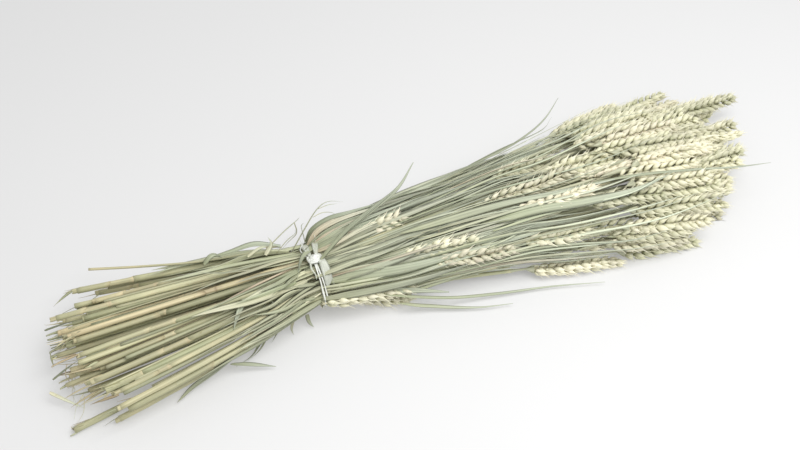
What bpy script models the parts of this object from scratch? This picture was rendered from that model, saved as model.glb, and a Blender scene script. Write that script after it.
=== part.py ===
"""Bundle of dried wheat, lying on its side and tied round its middle with plastic twine.

Units are metres and +Z is up. +X runs along the bundle, from the cut ends of the straws to the tips
of the ears, and the ground is z = 0. Every stalk of wheat is one grown piece, a straw with its ear.
Loose leaf blades, one bare straw and the twine are the other pieces.

The stalks are laid out as a hand holds them: each has a place in the tie, fans out to its ear on
one side and to its cut end on the other, and is then nudged clear of its neighbours and the ground.
"""

import bmesh
import bpy
import numpy as np

# The straws
BUTT_RADIUS = 0.0024
NECK_RADIUS = 0.0014
NECK_LENGTH = 0.11
STRAW_SPREAD = 0.14
CUT_REACH = 0.203
CUT_ROUNDING = 0.030
CUT_SCATTER = 0.013
CUT_HALF_WIDTH = 0.063
CUT_SIDE = -0.005
CUT_UNEVENNESS = 0.16
CUT_HEIGHT = 0.043
CUT_CLEARANCE = 0.003
# Stalks on the ground whose cut ends lie apart from the rest, as (x, y, z) past the tie
STRAY_CUTS = {44: (-0.187, -0.060, 0.004), 45: (-0.218, -0.056, 0.004)}
BEND_STATIONS = (-0.20, -0.16, -0.12, -0.08, -0.045, -0.015, 0.015, 0.045, 0.08, 0.12, 0.16, 0.20, 0.24,
                 0.28, 0.32, 0.36)
FIRST_BEND = 0.018
NECK_REST = 0.012
CUT_OPENING = 0.70
EAR_OPENING = 0.85
SHORTEST_FAN = 0.04

# The ears
EAR_RADIUS = 0.0068
EAR_LENGTH = 0.084
EAR_LENGTH_SPREAD = 0.08
EAR_DROOP = 0.010
EAR_LEAN = 0.85
LOW_EAR_LEAN = -0.25
LOW_EAR_REACH = 0.20
EAR_STATIONS = ((0.0, 0.28), (0.05, 0.66), (0.16, 0.93), (0.40, 1.0), (0.66, 0.92), (0.87, 0.66), (1.0, 0.24))

# Where the ears' tips lie, in layers from the top of the fan to the ground. Each layer has its
# height and, for each tip, how far past the tie and how far aside it is, +Y being the far side.
EAR_LAYERS = (
    (0.053, ((0.350, 0.038), (0.362, 0.018), (0.250, 0.016), (0.297, 0.010), (0.370, -0.003),
             (0.316, -0.009), (0.374, -0.020), (0.359, -0.048), (0.310, -0.054))),
    (0.042, ((0.356, 0.060), (0.391, 0.036), (0.385, 0.020), (0.406, 0.000), (0.390, -0.013),
             (0.412, -0.024), (0.140, -0.022), (0.348, -0.066), (0.168, -0.044))),
    (0.031, ((0.341, 0.080), (0.456, 0.050), (0.435, 0.018), (0.400, -0.006), (0.390, -0.042),
             (0.378, -0.056), (0.211, -0.047), (0.344, -0.078), (0.282, -0.060))),
    (0.019, ((0.404, 0.092), (0.428, 0.066), (0.415, 0.036), (0.375, 0.012), (0.425, -0.004),
             (0.395, -0.030), (0.321, -0.080), (0.298, -0.074))),
    (0.008, ((0.078, -0.040), (0.360, 0.088), (0.392, 0.062), (0.372, 0.040), (0.402, 0.020),
             (0.380, -0.006), (0.372, -0.034), (0.374, -0.060), (0.336, -0.080), (0.262, -0.074),
             (0.330, 0.064))),
)

FAN_HALF_WIDTH = 0.085
FAN_HALF_HEIGHT = 0.026
FAN_HEIGHT = 0.030

# The tie
TIE_HALF_WIDTH = 0.026
TIE_HALF_HEIGHT = 0.0205
TIE_HEIGHT = 0.0270
TIE_PITCH = 0.0065
TIE_ROWS = 8
TIE_REACH = 0.015
TWINE_RADIUS = 0.0008
TWINE_TURNS = 2
TWINE_POINTS_A_TURN = 26
TWINE_PITCH = 0.0030
TWINE_SLACK = 0.0007
KNOT_SIZE = (0.0125, 0.0085, 0.0060)
KNOT_SIDE = -0.002
TWINE_TAILS = ((0.006, -0.018), (0.010, -0.012))
TAIL_LIFT = 0.0016

# Loose leaf blades: half width, how far the flat of the blade leans from level (radians), and the
# route as (x, y, z) from the root, at or near the tie, to the tip.
LEAVES = (
    ("leaf_front_short", 0.0018, 0.5, ((0.056, -0.046, 0.014), (0.070, -0.051, 0.010),
                                       (0.083, -0.055, 0.007), (0.098, -0.061, 0.005),
                                       (0.121, -0.070, 0.004), (0.148, -0.077, 0.004))),
    ("leaf_front_long", 0.0016, 0.3, ((0.046, -0.042, 0.026), (0.070, -0.048, 0.018),
                                      (0.100, -0.055, 0.010), (0.140, -0.063, 0.005),
                                      (0.185, -0.073, 0.004), (0.231, -0.087, 0.004))),
    ("leaf_standing", 0.0024, 0.9, ((0.014, 0.000, 0.053), (0.035, 0.008, 0.061), (0.060, 0.011, 0.073),
                                    (0.081, 0.013, 0.085), (0.097, 0.018, 0.104))),
    ("leaf_past_ears", 0.0014, 0.2, ((0.230, -0.026, 0.064), (0.285, -0.036, 0.062),
                                     (0.333, -0.043, 0.056), (0.383, -0.048, 0.047),
                                     (0.416, -0.050, 0.042))),
    ("leaf_far_side", 0.0012, -0.6, ((0.130, 0.036, 0.050), (0.174, 0.046, 0.050), (0.216, 0.054, 0.052),
                                     (0.249, 0.066, 0.058), (0.267, 0.077, 0.067))),
    ("leaf_top_broad", 0.0034, 0.2, ((0.073, -0.012, 0.058), (0.117, -0.015, 0.060),
                                     (0.165, -0.018, 0.062), (0.215, -0.025, 0.063),
                                     (0.262, -0.032, 0.066))),
    ("leaf_tie_upper", 0.0032, 0.7, ((0.020, -0.016, 0.048), (0.050, -0.021, 0.047),
                                     (0.086, -0.027, 0.044), (0.125, -0.038, 0.040),
                                     (0.160, -0.044, 0.034))),
    ("leaf_tie_lower", 0.0032, 1.0, ((0.020, -0.034, 0.030), (0.047, -0.038, 0.026),
                                     (0.074, -0.045, 0.021), (0.100, -0.052, 0.014))),
    ("leaf_curled_back", 0.0026, -0.3, ((-0.020, 0.024, 0.046), (-0.040, 0.030, 0.051),
                                        (-0.060, 0.033, 0.047), (-0.078, 0.037, 0.043))),
    ("leaf_under_straws", 0.0024, 0.6, ((-0.085, -0.044, 0.014), (-0.108, -0.050, 0.009),
                                        (-0.125, -0.055, 0.006), (-0.138, -0.062, 0.004))),
    ("leaf_scrap_near", 0.0020, 0.6, ((-0.090, -0.050, 0.013), (-0.074, -0.053, 0.008),
                                      (-0.056, -0.060, 0.004))),
)
LEAF_THICKNESS_RATIO = 0.12
LEAF_WIDTHS = ((0.0, 0.55), (0.25, 1.0), (0.6, 0.85), (1.0, 0.16))
LEAF_UNTWIST = 0.15

# One bare straw that lies apart from the rest on the far side
BARE_STRAW_RADIUS = 0.0012
BARE_STRAW = ((-0.172, 0.074, 0.032), (-0.132, 0.056, 0.037), (-0.090, 0.040, 0.041), (-0.045, 0.028, 0.045))

# Settling the pieces against each other
GAP = 0.00055
GAP_SLANT = 1.03
PLANE_STEP = 0.006
PUSH_SHARE = 0.30
STIFFNESS = 0.30
STRAW_HOLD = 0.03
CUT_HOLD = 0.10
TIE_HOLD = 0.30
EAR_HOLD = 0.12
LEAF_HOLD = 0.04
GROUND_GAP = 0.0002
TWINE_LIFT = 0.0028
TWINE_LIFT_REACH = 0.03
SETTLING_ROUNDS = 500
HOLDING_ROUNDS = 330
SEED = 7

# Colours and surfaces: base colour and roughness
STRAW_COLOURS = ((0.46, 0.44, 0.27), (0.40, 0.41, 0.27), (0.52, 0.46, 0.26))
LEAF_COLOURS = ((0.36, 0.38, 0.27), (0.31, 0.34, 0.25))
TWINE_COLOUR = (0.86, 0.87, 0.84)
DRY_ROUGHNESS = 0.62
TWINE_ROUGHNESS = 0.35


def clear_scene():
    """Removes whatever the file holds when it opens."""
    for item in list(bpy.data.objects):
        bpy.data.objects.remove(item, do_unlink=True)


def new_collection(name):
    """A collection of the scene with this name."""
    collection = bpy.data.collections.new(name)
    bpy.context.scene.collection.children.link(collection)
    return collection


def material(name, colour, roughness):
    """A dry, non-metallic finish."""
    made = bpy.data.materials.new(name)
    made.use_nodes = True
    shader = made.node_tree.nodes["Principled BSDF"]
    shader.inputs["Base Color"].default_value = (*colour, 1.0)
    shader.inputs["Roughness"].default_value = roughness
    shader.inputs["Metallic"].default_value = 0.0
    return made


def tie_places(count):
    """Places for the stalks in the tie, as (y, z) about its middle: a honeycomb cut to an ellipse."""
    steps = np.arange(-TIE_ROWS, TIE_ROWS + 1)
    column, row = np.meshgrid(steps, steps)
    y = (column + 0.5 * (row % 2)) * TIE_PITCH
    z = row * TIE_PITCH * np.sqrt(0.75)
    places = np.stack([y.ravel(), z.ravel()], axis=1)
    spread = np.hypot(places[:, 0] / TIE_HALF_WIDTH, places[:, 1] / TIE_HALF_HEIGHT)
    return places[np.argsort(spread, kind="stable")[:count]]


def pair_up(wanted, offered):
    """For each wanted place the offered one that serves it, swapping pairs while that shortens the moves."""
    cost = ((wanted[:, None] - offered[None]) ** 2).sum(axis=2)
    order = np.arange(len(wanted))
    swapped = True
    while swapped:
        swapped = False
        for a in range(len(order)):
            for b in range(a + 1, len(order)):
                now = cost[a, order[a]] + cost[b, order[b]]
                if cost[a, order[b]] + cost[b, order[a]] < now - 1e-9:
                    order[[a, b]] = order[[b, a]]
                    swapped = True
    return order


def strand(name, route, radii, hold):
    """One long thin piece: points along +X with a radius each, and how firmly each keeps its place."""
    route = np.array(route, float)
    return {
        "name": name,
        "x": route[:, 0],
        "place": route[:, 1:].copy(),
        "wanted": route[:, 1:].copy(),
        "radius": np.array(radii, float),
        "hold": np.array(hold, float),
    }


def stalk_strand(number, tip, layer_height, slot, rng):
    """A stalk from its cut end, through its place in the tie, to the tip of its drooping ear."""
    thickness = 1 + STRAW_SPREAD * rng.uniform(-1, 1)
    length = EAR_LENGTH * (1 + EAR_LENGTH_SPREAD * rng.uniform(-1, 1))
    lean = EAR_LEAN * tip[1] / tip[0] if tip[0] > LOW_EAR_REACH else LOW_EAR_LEAN
    base_x = tip[0] - length
    base_y = tip[1] - length * lean
    across = slot[0] / TIE_HALF_WIDTH
    up = slot[1] / TIE_HALF_HEIGHT
    cut_x = -CUT_REACH + CUT_ROUNDING * across**2 + CUT_SCATTER * rng.uniform(-1, 1)
    cut_y = CUT_SIDE + CUT_HALF_WIDTH * (across + CUT_UNEVENNESS * rng.uniform(-1, 1))
    cut_z = CUT_HEIGHT * (0.5 + 0.5 * up) + CUT_CLEARANCE
    cut_x, cut_y, cut_z = STRAY_CUTS.get(number, (cut_x, cut_y, cut_z))
    ear = [base_x + length * share for share, _ in EAR_STATIONS]
    bends = [x for x in BEND_STATIONS if cut_x + FIRST_BEND < x < base_x - NECK_REST]
    x = np.array([cut_x] + bends + ear)
    before = np.clip((-TIE_REACH - x) / (-TIE_REACH - cut_x), 0, 1)[:, None] ** CUT_OPENING
    fan = max(base_x - TIE_REACH, SHORTEST_FAN)
    after = np.clip((x - TIE_REACH) / fan, 0, 1)[:, None] ** EAR_OPENING
    along_ear = np.clip((x - base_x) / length, 0, 1)[:, None]
    held = np.array([slot[0], slot[1] + TIE_HEIGHT])
    cut = np.array([cut_y, cut_z])
    base = np.array([base_y, layer_height + EAR_DROOP / 2])
    end = np.array([tip[1], layer_height - EAR_DROOP / 2])
    place = held + before * (cut - held) + after * (base - held) + along_ear * (end - base)
    neck = np.clip((base_x - x) / NECK_LENGTH, 0, 1)
    radius = thickness * (NECK_RADIUS + (BUTT_RADIUS - NECK_RADIUS) * neck)
    radius[-len(ear):] = [EAR_RADIUS * share for _, share in EAR_STATIONS]
    hold = np.full(len(x), STRAW_HOLD)
    hold[0] = CUT_HOLD
    hold[np.abs(x) < 1.01 * TIE_REACH] = TIE_HOLD
    hold[-len(ear):] = EAR_HOLD
    return strand(f"wheat_stalk_{number:02d}", np.column_stack([x, place]), radius, hold)


def stalk_strands(rng):
    """All the stalks, numbered from the top layer of ears to the lowest."""
    tips = [(tip, height) for height, row in EAR_LAYERS for tip in row]
    slots = tie_places(len(tips))
    fan = np.array([(tip[1] / FAN_HALF_WIDTH, (height - FAN_HEIGHT) / FAN_HALF_HEIGHT)
                    for tip, height in tips])
    held = slots / (TIE_HALF_WIDTH, TIE_HALF_HEIGHT)
    order = pair_up(fan, held)
    return [stalk_strand(number + 1, tip, height, slots[order[number]], rng)
            for number, (tip, height) in enumerate(tips)]


def leaf_strand(name, half_width, route):
    """A leaf blade, as the round space that it may be turned in. Its points run along +X."""
    route = np.array(route, float)
    share = np.linspace(0, 1, len(route))
    widths = half_width * np.interp(share, *np.array(LEAF_WIDTHS).T)
    if route[0, 0] > route[-1, 0]:
        route, widths = route[::-1], widths[::-1]
    return strand(name, route, widths, np.full(len(route), LEAF_HOLD))


def station_weights(x, planes):
    """How much each point of a strand counts at each plane across the bundle: straight between points."""
    weights = np.zeros((len(planes), len(x)))
    inside = (planes >= x[0]) & (planes <= x[-1])
    after = np.clip(np.searchsorted(x, planes), 1, len(x) - 1)
    share = (planes - x[after - 1]) / (x[after] - x[after - 1])
    rows = np.flatnonzero(inside)
    weights[rows, after[rows] - 1] = 1 - share[rows]
    weights[rows, after[rows]] = share[rows]
    return weights


def kink(item):
    """How far each inner point was nudged out of line with the nudges of its two neighbours."""
    x, nudge = item["x"], item["place"] - item["wanted"]
    share = ((x[1:-1] - x[:-2]) / (x[2:] - x[:-2]))[:, None]
    return nudge[:-2] * (1 - share) + nudge[2:] * share - nudge[1:-1]


def settle(strands):
    """Nudges the strands apart until no two are nearer than GAP, and none is below the ground."""
    planes = np.arange(min(s["x"][0] for s in strands), max(s["x"][-1] for s in strands), PLANE_STEP)
    weights = [station_weights(s["x"], planes) for s in strands]
    inside = np.array([w.sum(axis=1) > 0 for w in weights]).T
    radius = np.array([w @ s["radius"] for w, s in zip(weights, strands)]).T
    reach = radius[:, :, None] + radius[:, None, :] + GAP
    both = inside[:, :, None] & inside[:, None, :]
    both &= ~np.eye(len(strands), dtype=bool)
    lift = TWINE_LIFT * np.exp(-(planes[:, None] / TWINE_LIFT_REACH) ** 2)
    ground = radius + lift + GROUND_GAP
    for turn in range(SETTLING_ROUNDS):
        keep = max(0.0, 1 - turn / HOLDING_ROUNDS)
        for item in strands:
            item["place"] += keep * item["hold"][:, None] * (item["wanted"] - item["place"])
            item["place"][1:-1] += STIFFNESS * keep * kink(item)
        placed = np.array([w @ s["place"] for w, s in zip(weights, strands)]).transpose(1, 0, 2)
        apart = placed[:, :, None] - placed[:, None, :]
        distance = np.linalg.norm(apart, axis=3) + 1e-9
        short = np.where(both, np.clip(GAP_SLANT * reach - distance, 0, None), 0)
        push = (apart / distance[..., None] * short[..., None]).sum(axis=2) * PUSH_SHARE
        below = np.where(inside, np.clip(ground - placed[:, :, 1], 0, None), 0)
        push[:, :, 1] += below
        for index, item in enumerate(strands):
            shares = weights[index]
            active = (np.abs(push[:, index]).sum(axis=1) > 0)[:, None] * shares
            total = active.sum(axis=0)[:, None]
            item["place"] += np.where(total > 0, active.T @ push[:, index] / np.maximum(total, 1e-9), 0)


def parented(item, rig, collection):
    """Puts the object in the collection and under the empty that carries the bundle."""
    collection.objects.link(item)
    item.parent = rig


def tube(name, points, radii, collection, rig, finish, bevel_resolution=1):
    """A closed tube along straight stretches between points, with a radius at each."""
    origin = points[0]
    curve = bpy.data.curves.new(name, "CURVE")
    curve.dimensions = "3D"
    curve.bevel_depth = 1.0
    curve.bevel_resolution = bevel_resolution
    curve.use_fill_caps = True
    spline = curve.splines.new("POLY")
    spline.points.add(len(points) - 1)
    for point, place, radius in zip(spline.points, points, radii):
        point.co = (*(place - origin), 1.0)
        point.radius = radius
    curve.materials.append(finish)
    item = bpy.data.objects.new(name, curve)
    item.location = origin
    parented(item, rig, collection)
    return item


def points_of(item):
    """The strand's points in space."""
    return np.column_stack([item["x"], item["place"]])


def leaf(item, lean, section, collection, rig, finish):
    """A leaf blade: a thin lens-shaped section swept along its route, tapering to a point."""
    made = tube(item["name"], points_of(item), item["radius"], collection, rig, finish)
    curve = made.data
    curve.bevel_mode = "OBJECT"
    curve.bevel_object = section
    curve.twist_mode = "Z_UP"
    for number, point in enumerate(curve.splines[0].points):
        point.tilt = lean * (1 - LEAF_UNTWIST * number)
    return made


def leaf_section(collection):
    """The section of a blade, two units wide, as a hidden guide."""
    curve = bpy.data.curves.new("leaf_section", "CURVE")
    curve.dimensions = "2D"
    spline = curve.splines.new("POLY")
    outline = ((1, 0), (0, -LEAF_THICKNESS_RATIO), (-1, 0), (0, LEAF_THICKNESS_RATIO))
    spline.points.add(len(outline) - 1)
    for point, (x, y) in zip(spline.points, outline):
        point.co = (x, y, 0, 1)
    spline.use_cyclic_u = True
    item = bpy.data.objects.new("leaf_section", curve)
    item.hide_render = True
    item.display_type = "WIRE"
    collection.objects.link(item)
    return item


def outline_at_tie(strands, clearance):
    """The rope-taut outline round every strand in the tie, as evenly spaced (y, z) points."""
    turn = np.linspace(0, 2 * np.pi, 24, endpoint=False)
    ring = np.stack([np.cos(turn), np.sin(turn)], axis=1)
    cloud = []
    for item in strands:
        for x in np.linspace(-TIE_REACH, TIE_REACH, 5):
            if item["x"][0] <= x <= item["x"][-1]:
                centre = [np.interp(x, item["x"], item["place"][:, axis]) for axis in (0, 1)]
                radius = np.interp(x, item["x"], item["radius"])
                cloud.append(np.array(centre) + (radius + clearance) * ring)
    cloud = np.concatenate(cloud)
    middle = (cloud.min(axis=0) + cloud.max(axis=0)) / 2
    turn = np.linspace(0, 2 * np.pi, 180, endpoint=False)
    normals = np.stack([np.sin(turn), np.cos(turn)], axis=1)
    reach = ((cloud - middle) @ normals.T).max(axis=0)
    slope = (np.roll(reach, -1) - np.roll(reach, 1)) / (2 * (turn[1] - turn[0]))
    along = np.stack([normals[:, 1], -normals[:, 0]], axis=1)
    return middle + reach[:, None] * normals + slope[:, None] * along


def twine_route(outline):
    """The twine's turns round the outline, a pitch apart, from the top round by the near side."""
    count = TWINE_TURNS * TWINE_POINTS_A_TURN
    share = np.linspace(0.01, TWINE_TURNS - 0.01, count)
    lengths = np.linalg.norm(np.roll(outline, -1, axis=0) - outline, axis=1)
    travelled = np.concatenate([[0], np.cumsum(lengths)])
    closed = np.vstack([outline, outline[:1]])
    wanted = (share % 1) * travelled[-1]
    y = np.interp(wanted, travelled, closed[:, 0])
    z = np.interp(wanted, travelled, closed[:, 1])
    x = TWINE_PITCH * (share - TWINE_TURNS / 2)
    return np.column_stack([x, y, z])


def as_mesh(item):
    """The curve's solid as a mesh object of the same name, with its caps welded on."""
    graph = bpy.context.evaluated_depsgraph_get()
    mesh = bpy.data.meshes.new_from_object(item.evaluated_get(graph))
    solid = bmesh.new()
    solid.from_mesh(mesh)
    bmesh.ops.remove_doubles(solid, verts=solid.verts, dist=0.00001)
    solid.to_mesh(mesh)
    solid.free()
    name, collection, rig = item.name, item.users_collection[0], item.parent
    place = item.matrix_world.copy()
    bpy.data.objects.remove(item, do_unlink=True)
    made = bpy.data.objects.new(name, mesh)
    parented(made, rig, collection)
    made.matrix_world = place
    return made


def knot_lump(centre, collection, rig, finish):
    """The body of the knot, a flattened round lump."""
    lump = bmesh.new()
    bmesh.ops.create_uvsphere(lump, u_segments=12, v_segments=7, radius=0.5)
    bmesh.ops.scale(lump, vec=KNOT_SIZE, verts=lump.verts)
    mesh = bpy.data.meshes.new("knot")
    lump.to_mesh(mesh)
    lump.free()
    mesh.materials.append(finish)
    made = bpy.data.objects.new("twine_knot_lump", mesh)
    made.location = centre
    parented(made, rig, collection)
    return made


def height_over(outline, y):
    """How high the upper side of the outline is at y."""
    upper = outline[outline[:, 1] > outline[:, 1].mean()]
    upper = upper[np.argsort(upper[:, 0])]
    return np.interp(y, upper[:, 0], upper[:, 1])


def twine(strands, collection, helpers, rig, finish):
    """The twine: its turns round the bundle, the knot on top and its two short tails, as one solid."""
    outline = outline_at_tie(strands, TWINE_RADIUS + TWINE_SLACK)
    route = twine_route(outline)
    tube("twine_tie", route, np.full(len(route), TWINE_RADIUS), collection, rig, finish)
    knot_z = height_over(outline, KNOT_SIDE) + KNOT_SIZE[2] / 2 - TWINE_RADIUS
    centre = np.array([0.001, KNOT_SIDE, knot_z])
    share = np.linspace(0, 1, 6)
    for number, (along, out) in enumerate(TWINE_TAILS):
        y = KNOT_SIDE + out * share
        rise = (knot_z - height_over(outline, KNOT_SIDE)) * (1 - share) + TAIL_LIFT * share
        path = np.column_stack([centre[0] + along * share, y, height_over(outline, y) + rise])
        tube(f"twine_tail_{number}", path, np.full(len(path), TWINE_RADIUS), helpers, rig, finish)
    knot_lump(centre, helpers, rig, finish)
    bpy.context.view_layer.update()
    turns = as_mesh(bpy.data.objects["twine_tie"])
    tails = [as_mesh(bpy.data.objects[f"twine_tail_{number}"]) for number in range(len(TWINE_TAILS))]
    for other in tails + [bpy.data.objects["twine_knot_lump"]]:
        other.hide_render = True
        other.display_type = "WIRE"
        join = turns.modifiers.new(f"with_{other.name}", "BOOLEAN")
        join.operation = "UNION"
        join.object = other


def stand_on_ground(rig, collection):
    """Moves the bundle so that the middle of its box is over the origin and its lowest point at z = 0."""
    bpy.context.view_layer.update()
    graph = bpy.context.evaluated_depsgraph_get()
    corners = []
    for item in collection.objects:
        ready = item.evaluated_get(graph)
        mesh = ready.to_mesh()
        points = np.empty(len(mesh.vertices) * 3)
        mesh.vertices.foreach_get("co", points)
        world = np.array(ready.matrix_world)
        points = points.reshape(-1, 3) @ world[:3, :3].T + world[:3, 3]
        corners += [points.min(axis=0), points.max(axis=0)]
        ready.to_mesh_clear()
    low, high = np.min(corners, axis=0), np.max(corners, axis=0)
    rig.location = (-(low[0] + high[0]) / 2, -(low[1] + high[1]) / 2, -low[2])


def main():
    """Builds the bundle."""
    clear_scene()
    bundle = new_collection("wheat_bundle")
    helpers = new_collection("helpers")
    rig = bpy.data.objects.new("wheat_bundle_rig", None)
    bpy.context.scene.collection.objects.link(rig)
    straws = [material(f"dried_straw_{n}", colour, DRY_ROUGHNESS) for n, colour in enumerate(STRAW_COLOURS)]
    blades = [material(f"dried_leaf_{n}", colour, DRY_ROUGHNESS) for n, colour in enumerate(LEAF_COLOURS)]
    white = material("white_twine", TWINE_COLOUR, TWINE_ROUGHNESS)

    rng = np.random.default_rng(SEED)
    stalks = stalk_strands(rng)
    leaves = [leaf_strand(name, half_width, route) for name, half_width, _, route in LEAVES]
    bare = strand("bare_straw", BARE_STRAW, np.full(len(BARE_STRAW), BARE_STRAW_RADIUS),
                  np.full(len(BARE_STRAW), LEAF_HOLD))
    strands = stalks + leaves + [bare]
    settle(strands)

    for number, item in enumerate(stalks + [bare]):
        tube(item["name"], points_of(item), item["radius"], bundle, rig, straws[number % len(straws)])
    section = leaf_section(helpers)
    for number, (item, (_, _, lean, _)) in enumerate(zip(leaves, LEAVES)):
        leaf(item, lean, section, bundle, rig, blades[number % len(blades)])
    twine(stalks + [bare], bundle, helpers, rig, white)
    stand_on_ground(rig, bundle)


main()
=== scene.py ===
"""The looks of a bundle of dried wheat that lies on its side, tied round its middle with plastic twine.

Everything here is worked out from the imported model: each stalk's middle line and thickness are read
from its plain solid, and the straws, sheaths, ears, leaves and twine are modelled along and around them.
Lengths are in metres. +X runs from the cut ends of the straws to the tips of the ears, and +Z is up.
"""

import logging
from dataclasses import dataclass, field
from enum import Enum

import bpy
import numpy as np
from numpy.typing import NDArray
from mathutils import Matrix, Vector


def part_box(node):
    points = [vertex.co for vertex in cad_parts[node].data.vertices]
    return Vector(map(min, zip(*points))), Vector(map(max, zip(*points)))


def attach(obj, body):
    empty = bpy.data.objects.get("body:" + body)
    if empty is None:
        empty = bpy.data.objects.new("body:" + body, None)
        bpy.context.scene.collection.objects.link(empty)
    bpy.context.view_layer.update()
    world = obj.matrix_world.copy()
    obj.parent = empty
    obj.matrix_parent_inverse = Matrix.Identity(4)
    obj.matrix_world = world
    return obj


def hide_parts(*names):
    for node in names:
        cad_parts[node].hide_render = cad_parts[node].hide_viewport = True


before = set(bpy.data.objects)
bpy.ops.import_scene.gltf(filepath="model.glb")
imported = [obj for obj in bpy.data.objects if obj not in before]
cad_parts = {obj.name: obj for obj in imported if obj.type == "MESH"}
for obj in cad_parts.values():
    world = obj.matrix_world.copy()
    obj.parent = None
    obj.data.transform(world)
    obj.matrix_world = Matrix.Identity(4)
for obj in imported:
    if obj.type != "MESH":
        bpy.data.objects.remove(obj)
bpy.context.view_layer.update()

Array = NDArray[np.float64]
Colour = tuple[float, float, float]
Socket = bpy.types.NodeSocket

BODY = "root"
GROUND_CLEARANCE = 0.0003
EAR_RINGS = 7  # how many of the last rings of a stalk's solid are its ear
EAR_HALF_WIDTH = 0.0068
EAR_TUCK = 0.004  # how far a straw runs on inside its ear
LEAF_THICK = 0.00022
TURN = 2 * np.pi
UP = np.array([0.0, 0.0, 1.0])
LOG = logging.getLogger("wheat_bundle")


class Slot(Enum):
    """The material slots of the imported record."""

    STALK = "stalk"
    STRAW = "straw"
    LEAF = "leaf"
    TWINE = "twine"


# ---------------------------------------------------------------------------------------------
# Curves and surfaces


def through(values: Array, knots: Array, at: Array) -> Array:
    """Reads a smooth curve that passes through given values.

    Cubic Hermite stretches: on each, the value is the blend of its two ends and of their slopes,
    and a slope is the gradient of the values over the neighbouring knots.

    Args:
        values: What the curve passes through, one row for each knot.
        knots: Where it does, rising.
        at: Where to read the curve.

    Returns:
        One row for each place in at.
    """
    slopes = np.gradient(values, knots, axis=0)
    after = np.clip(np.searchsorted(knots, at), 1, len(knots) - 1)
    span = knots[after] - knots[after - 1]
    t = (at - knots[after - 1]) / span
    if values.ndim > 1:
        t, span = t[:, None], span[:, None]
    t = np.clip(t, 0, 1)
    start = (1 + 2 * t) * (1 - t) ** 2 * values[after - 1] + t * (1 - t) ** 2 * span * slopes[after - 1]
    end = t**2 * (3 - 2 * t) * values[after] + t**2 * (t - 1) * span * slopes[after]
    return start + end


def unit(vectors: Array) -> Array:
    """The vectors at length 1."""
    return vectors / np.maximum(np.linalg.norm(vectors, axis=-1, keepdims=True), 1e-12)


def bell(x: Array, middle: float, reach: float) -> Array:
    """A smooth bump, 1 at the middle: e to the minus (distance over reach) squared."""
    return np.exp(-(((x - middle) / reach) ** 2))


def travelled(line: Array) -> Array:
    """How far along a line each of its points is, from 0 at the first."""
    return np.concatenate([[0.0], np.cumsum(np.linalg.norm(np.diff(line, axis=0), axis=1))])


def axes_along(line: Array, up: Array) -> tuple[Array, Array, Array]:
    """Works out an upright frame at each point of a line.

    The tangent is the gradient of the line, the normal is the up vector less its part along the
    tangent, and the side vector is normal cross tangent, so side cross normal is the tangent.

    Args:
        line: Points, one a row.
        up: The direction that the normals lean to, one vector or one a point.

    Returns:
        The tangents, side vectors and normals.
    """
    tangent = unit(np.gradient(line, axis=0))
    upward = np.broadcast_to(up, line.shape)
    normal = unit(upward - (upward * tangent).sum(axis=1, keepdims=True) * tangent)
    return tangent, np.cross(normal, tangent), normal


def rolled(side: Array, normal: Array, roll: Array) -> tuple[Array, Array]:
    """Side and normal vectors turned about the tangent by an angle at each point."""
    c, s = np.cos(roll)[:, None], np.sin(roll)[:, None]
    return side * c + normal * s, normal * c - side * s


def turned_axes(line: Array, roll: Array | float, up: Array = UP) -> tuple[Array, Array]:
    """The side and normal vectors along a line, turned about it.

    Args:
        line: Points, one a row.
        roll: The angle, one for all points or one a point.
        up: The direction that the normals lean to before they are turned.

    Returns:
        The side vectors and normals.
    """
    _, side, normal = axes_along(line, up)
    return rolled(side, normal, np.broadcast_to(roll, (len(line),)))


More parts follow.
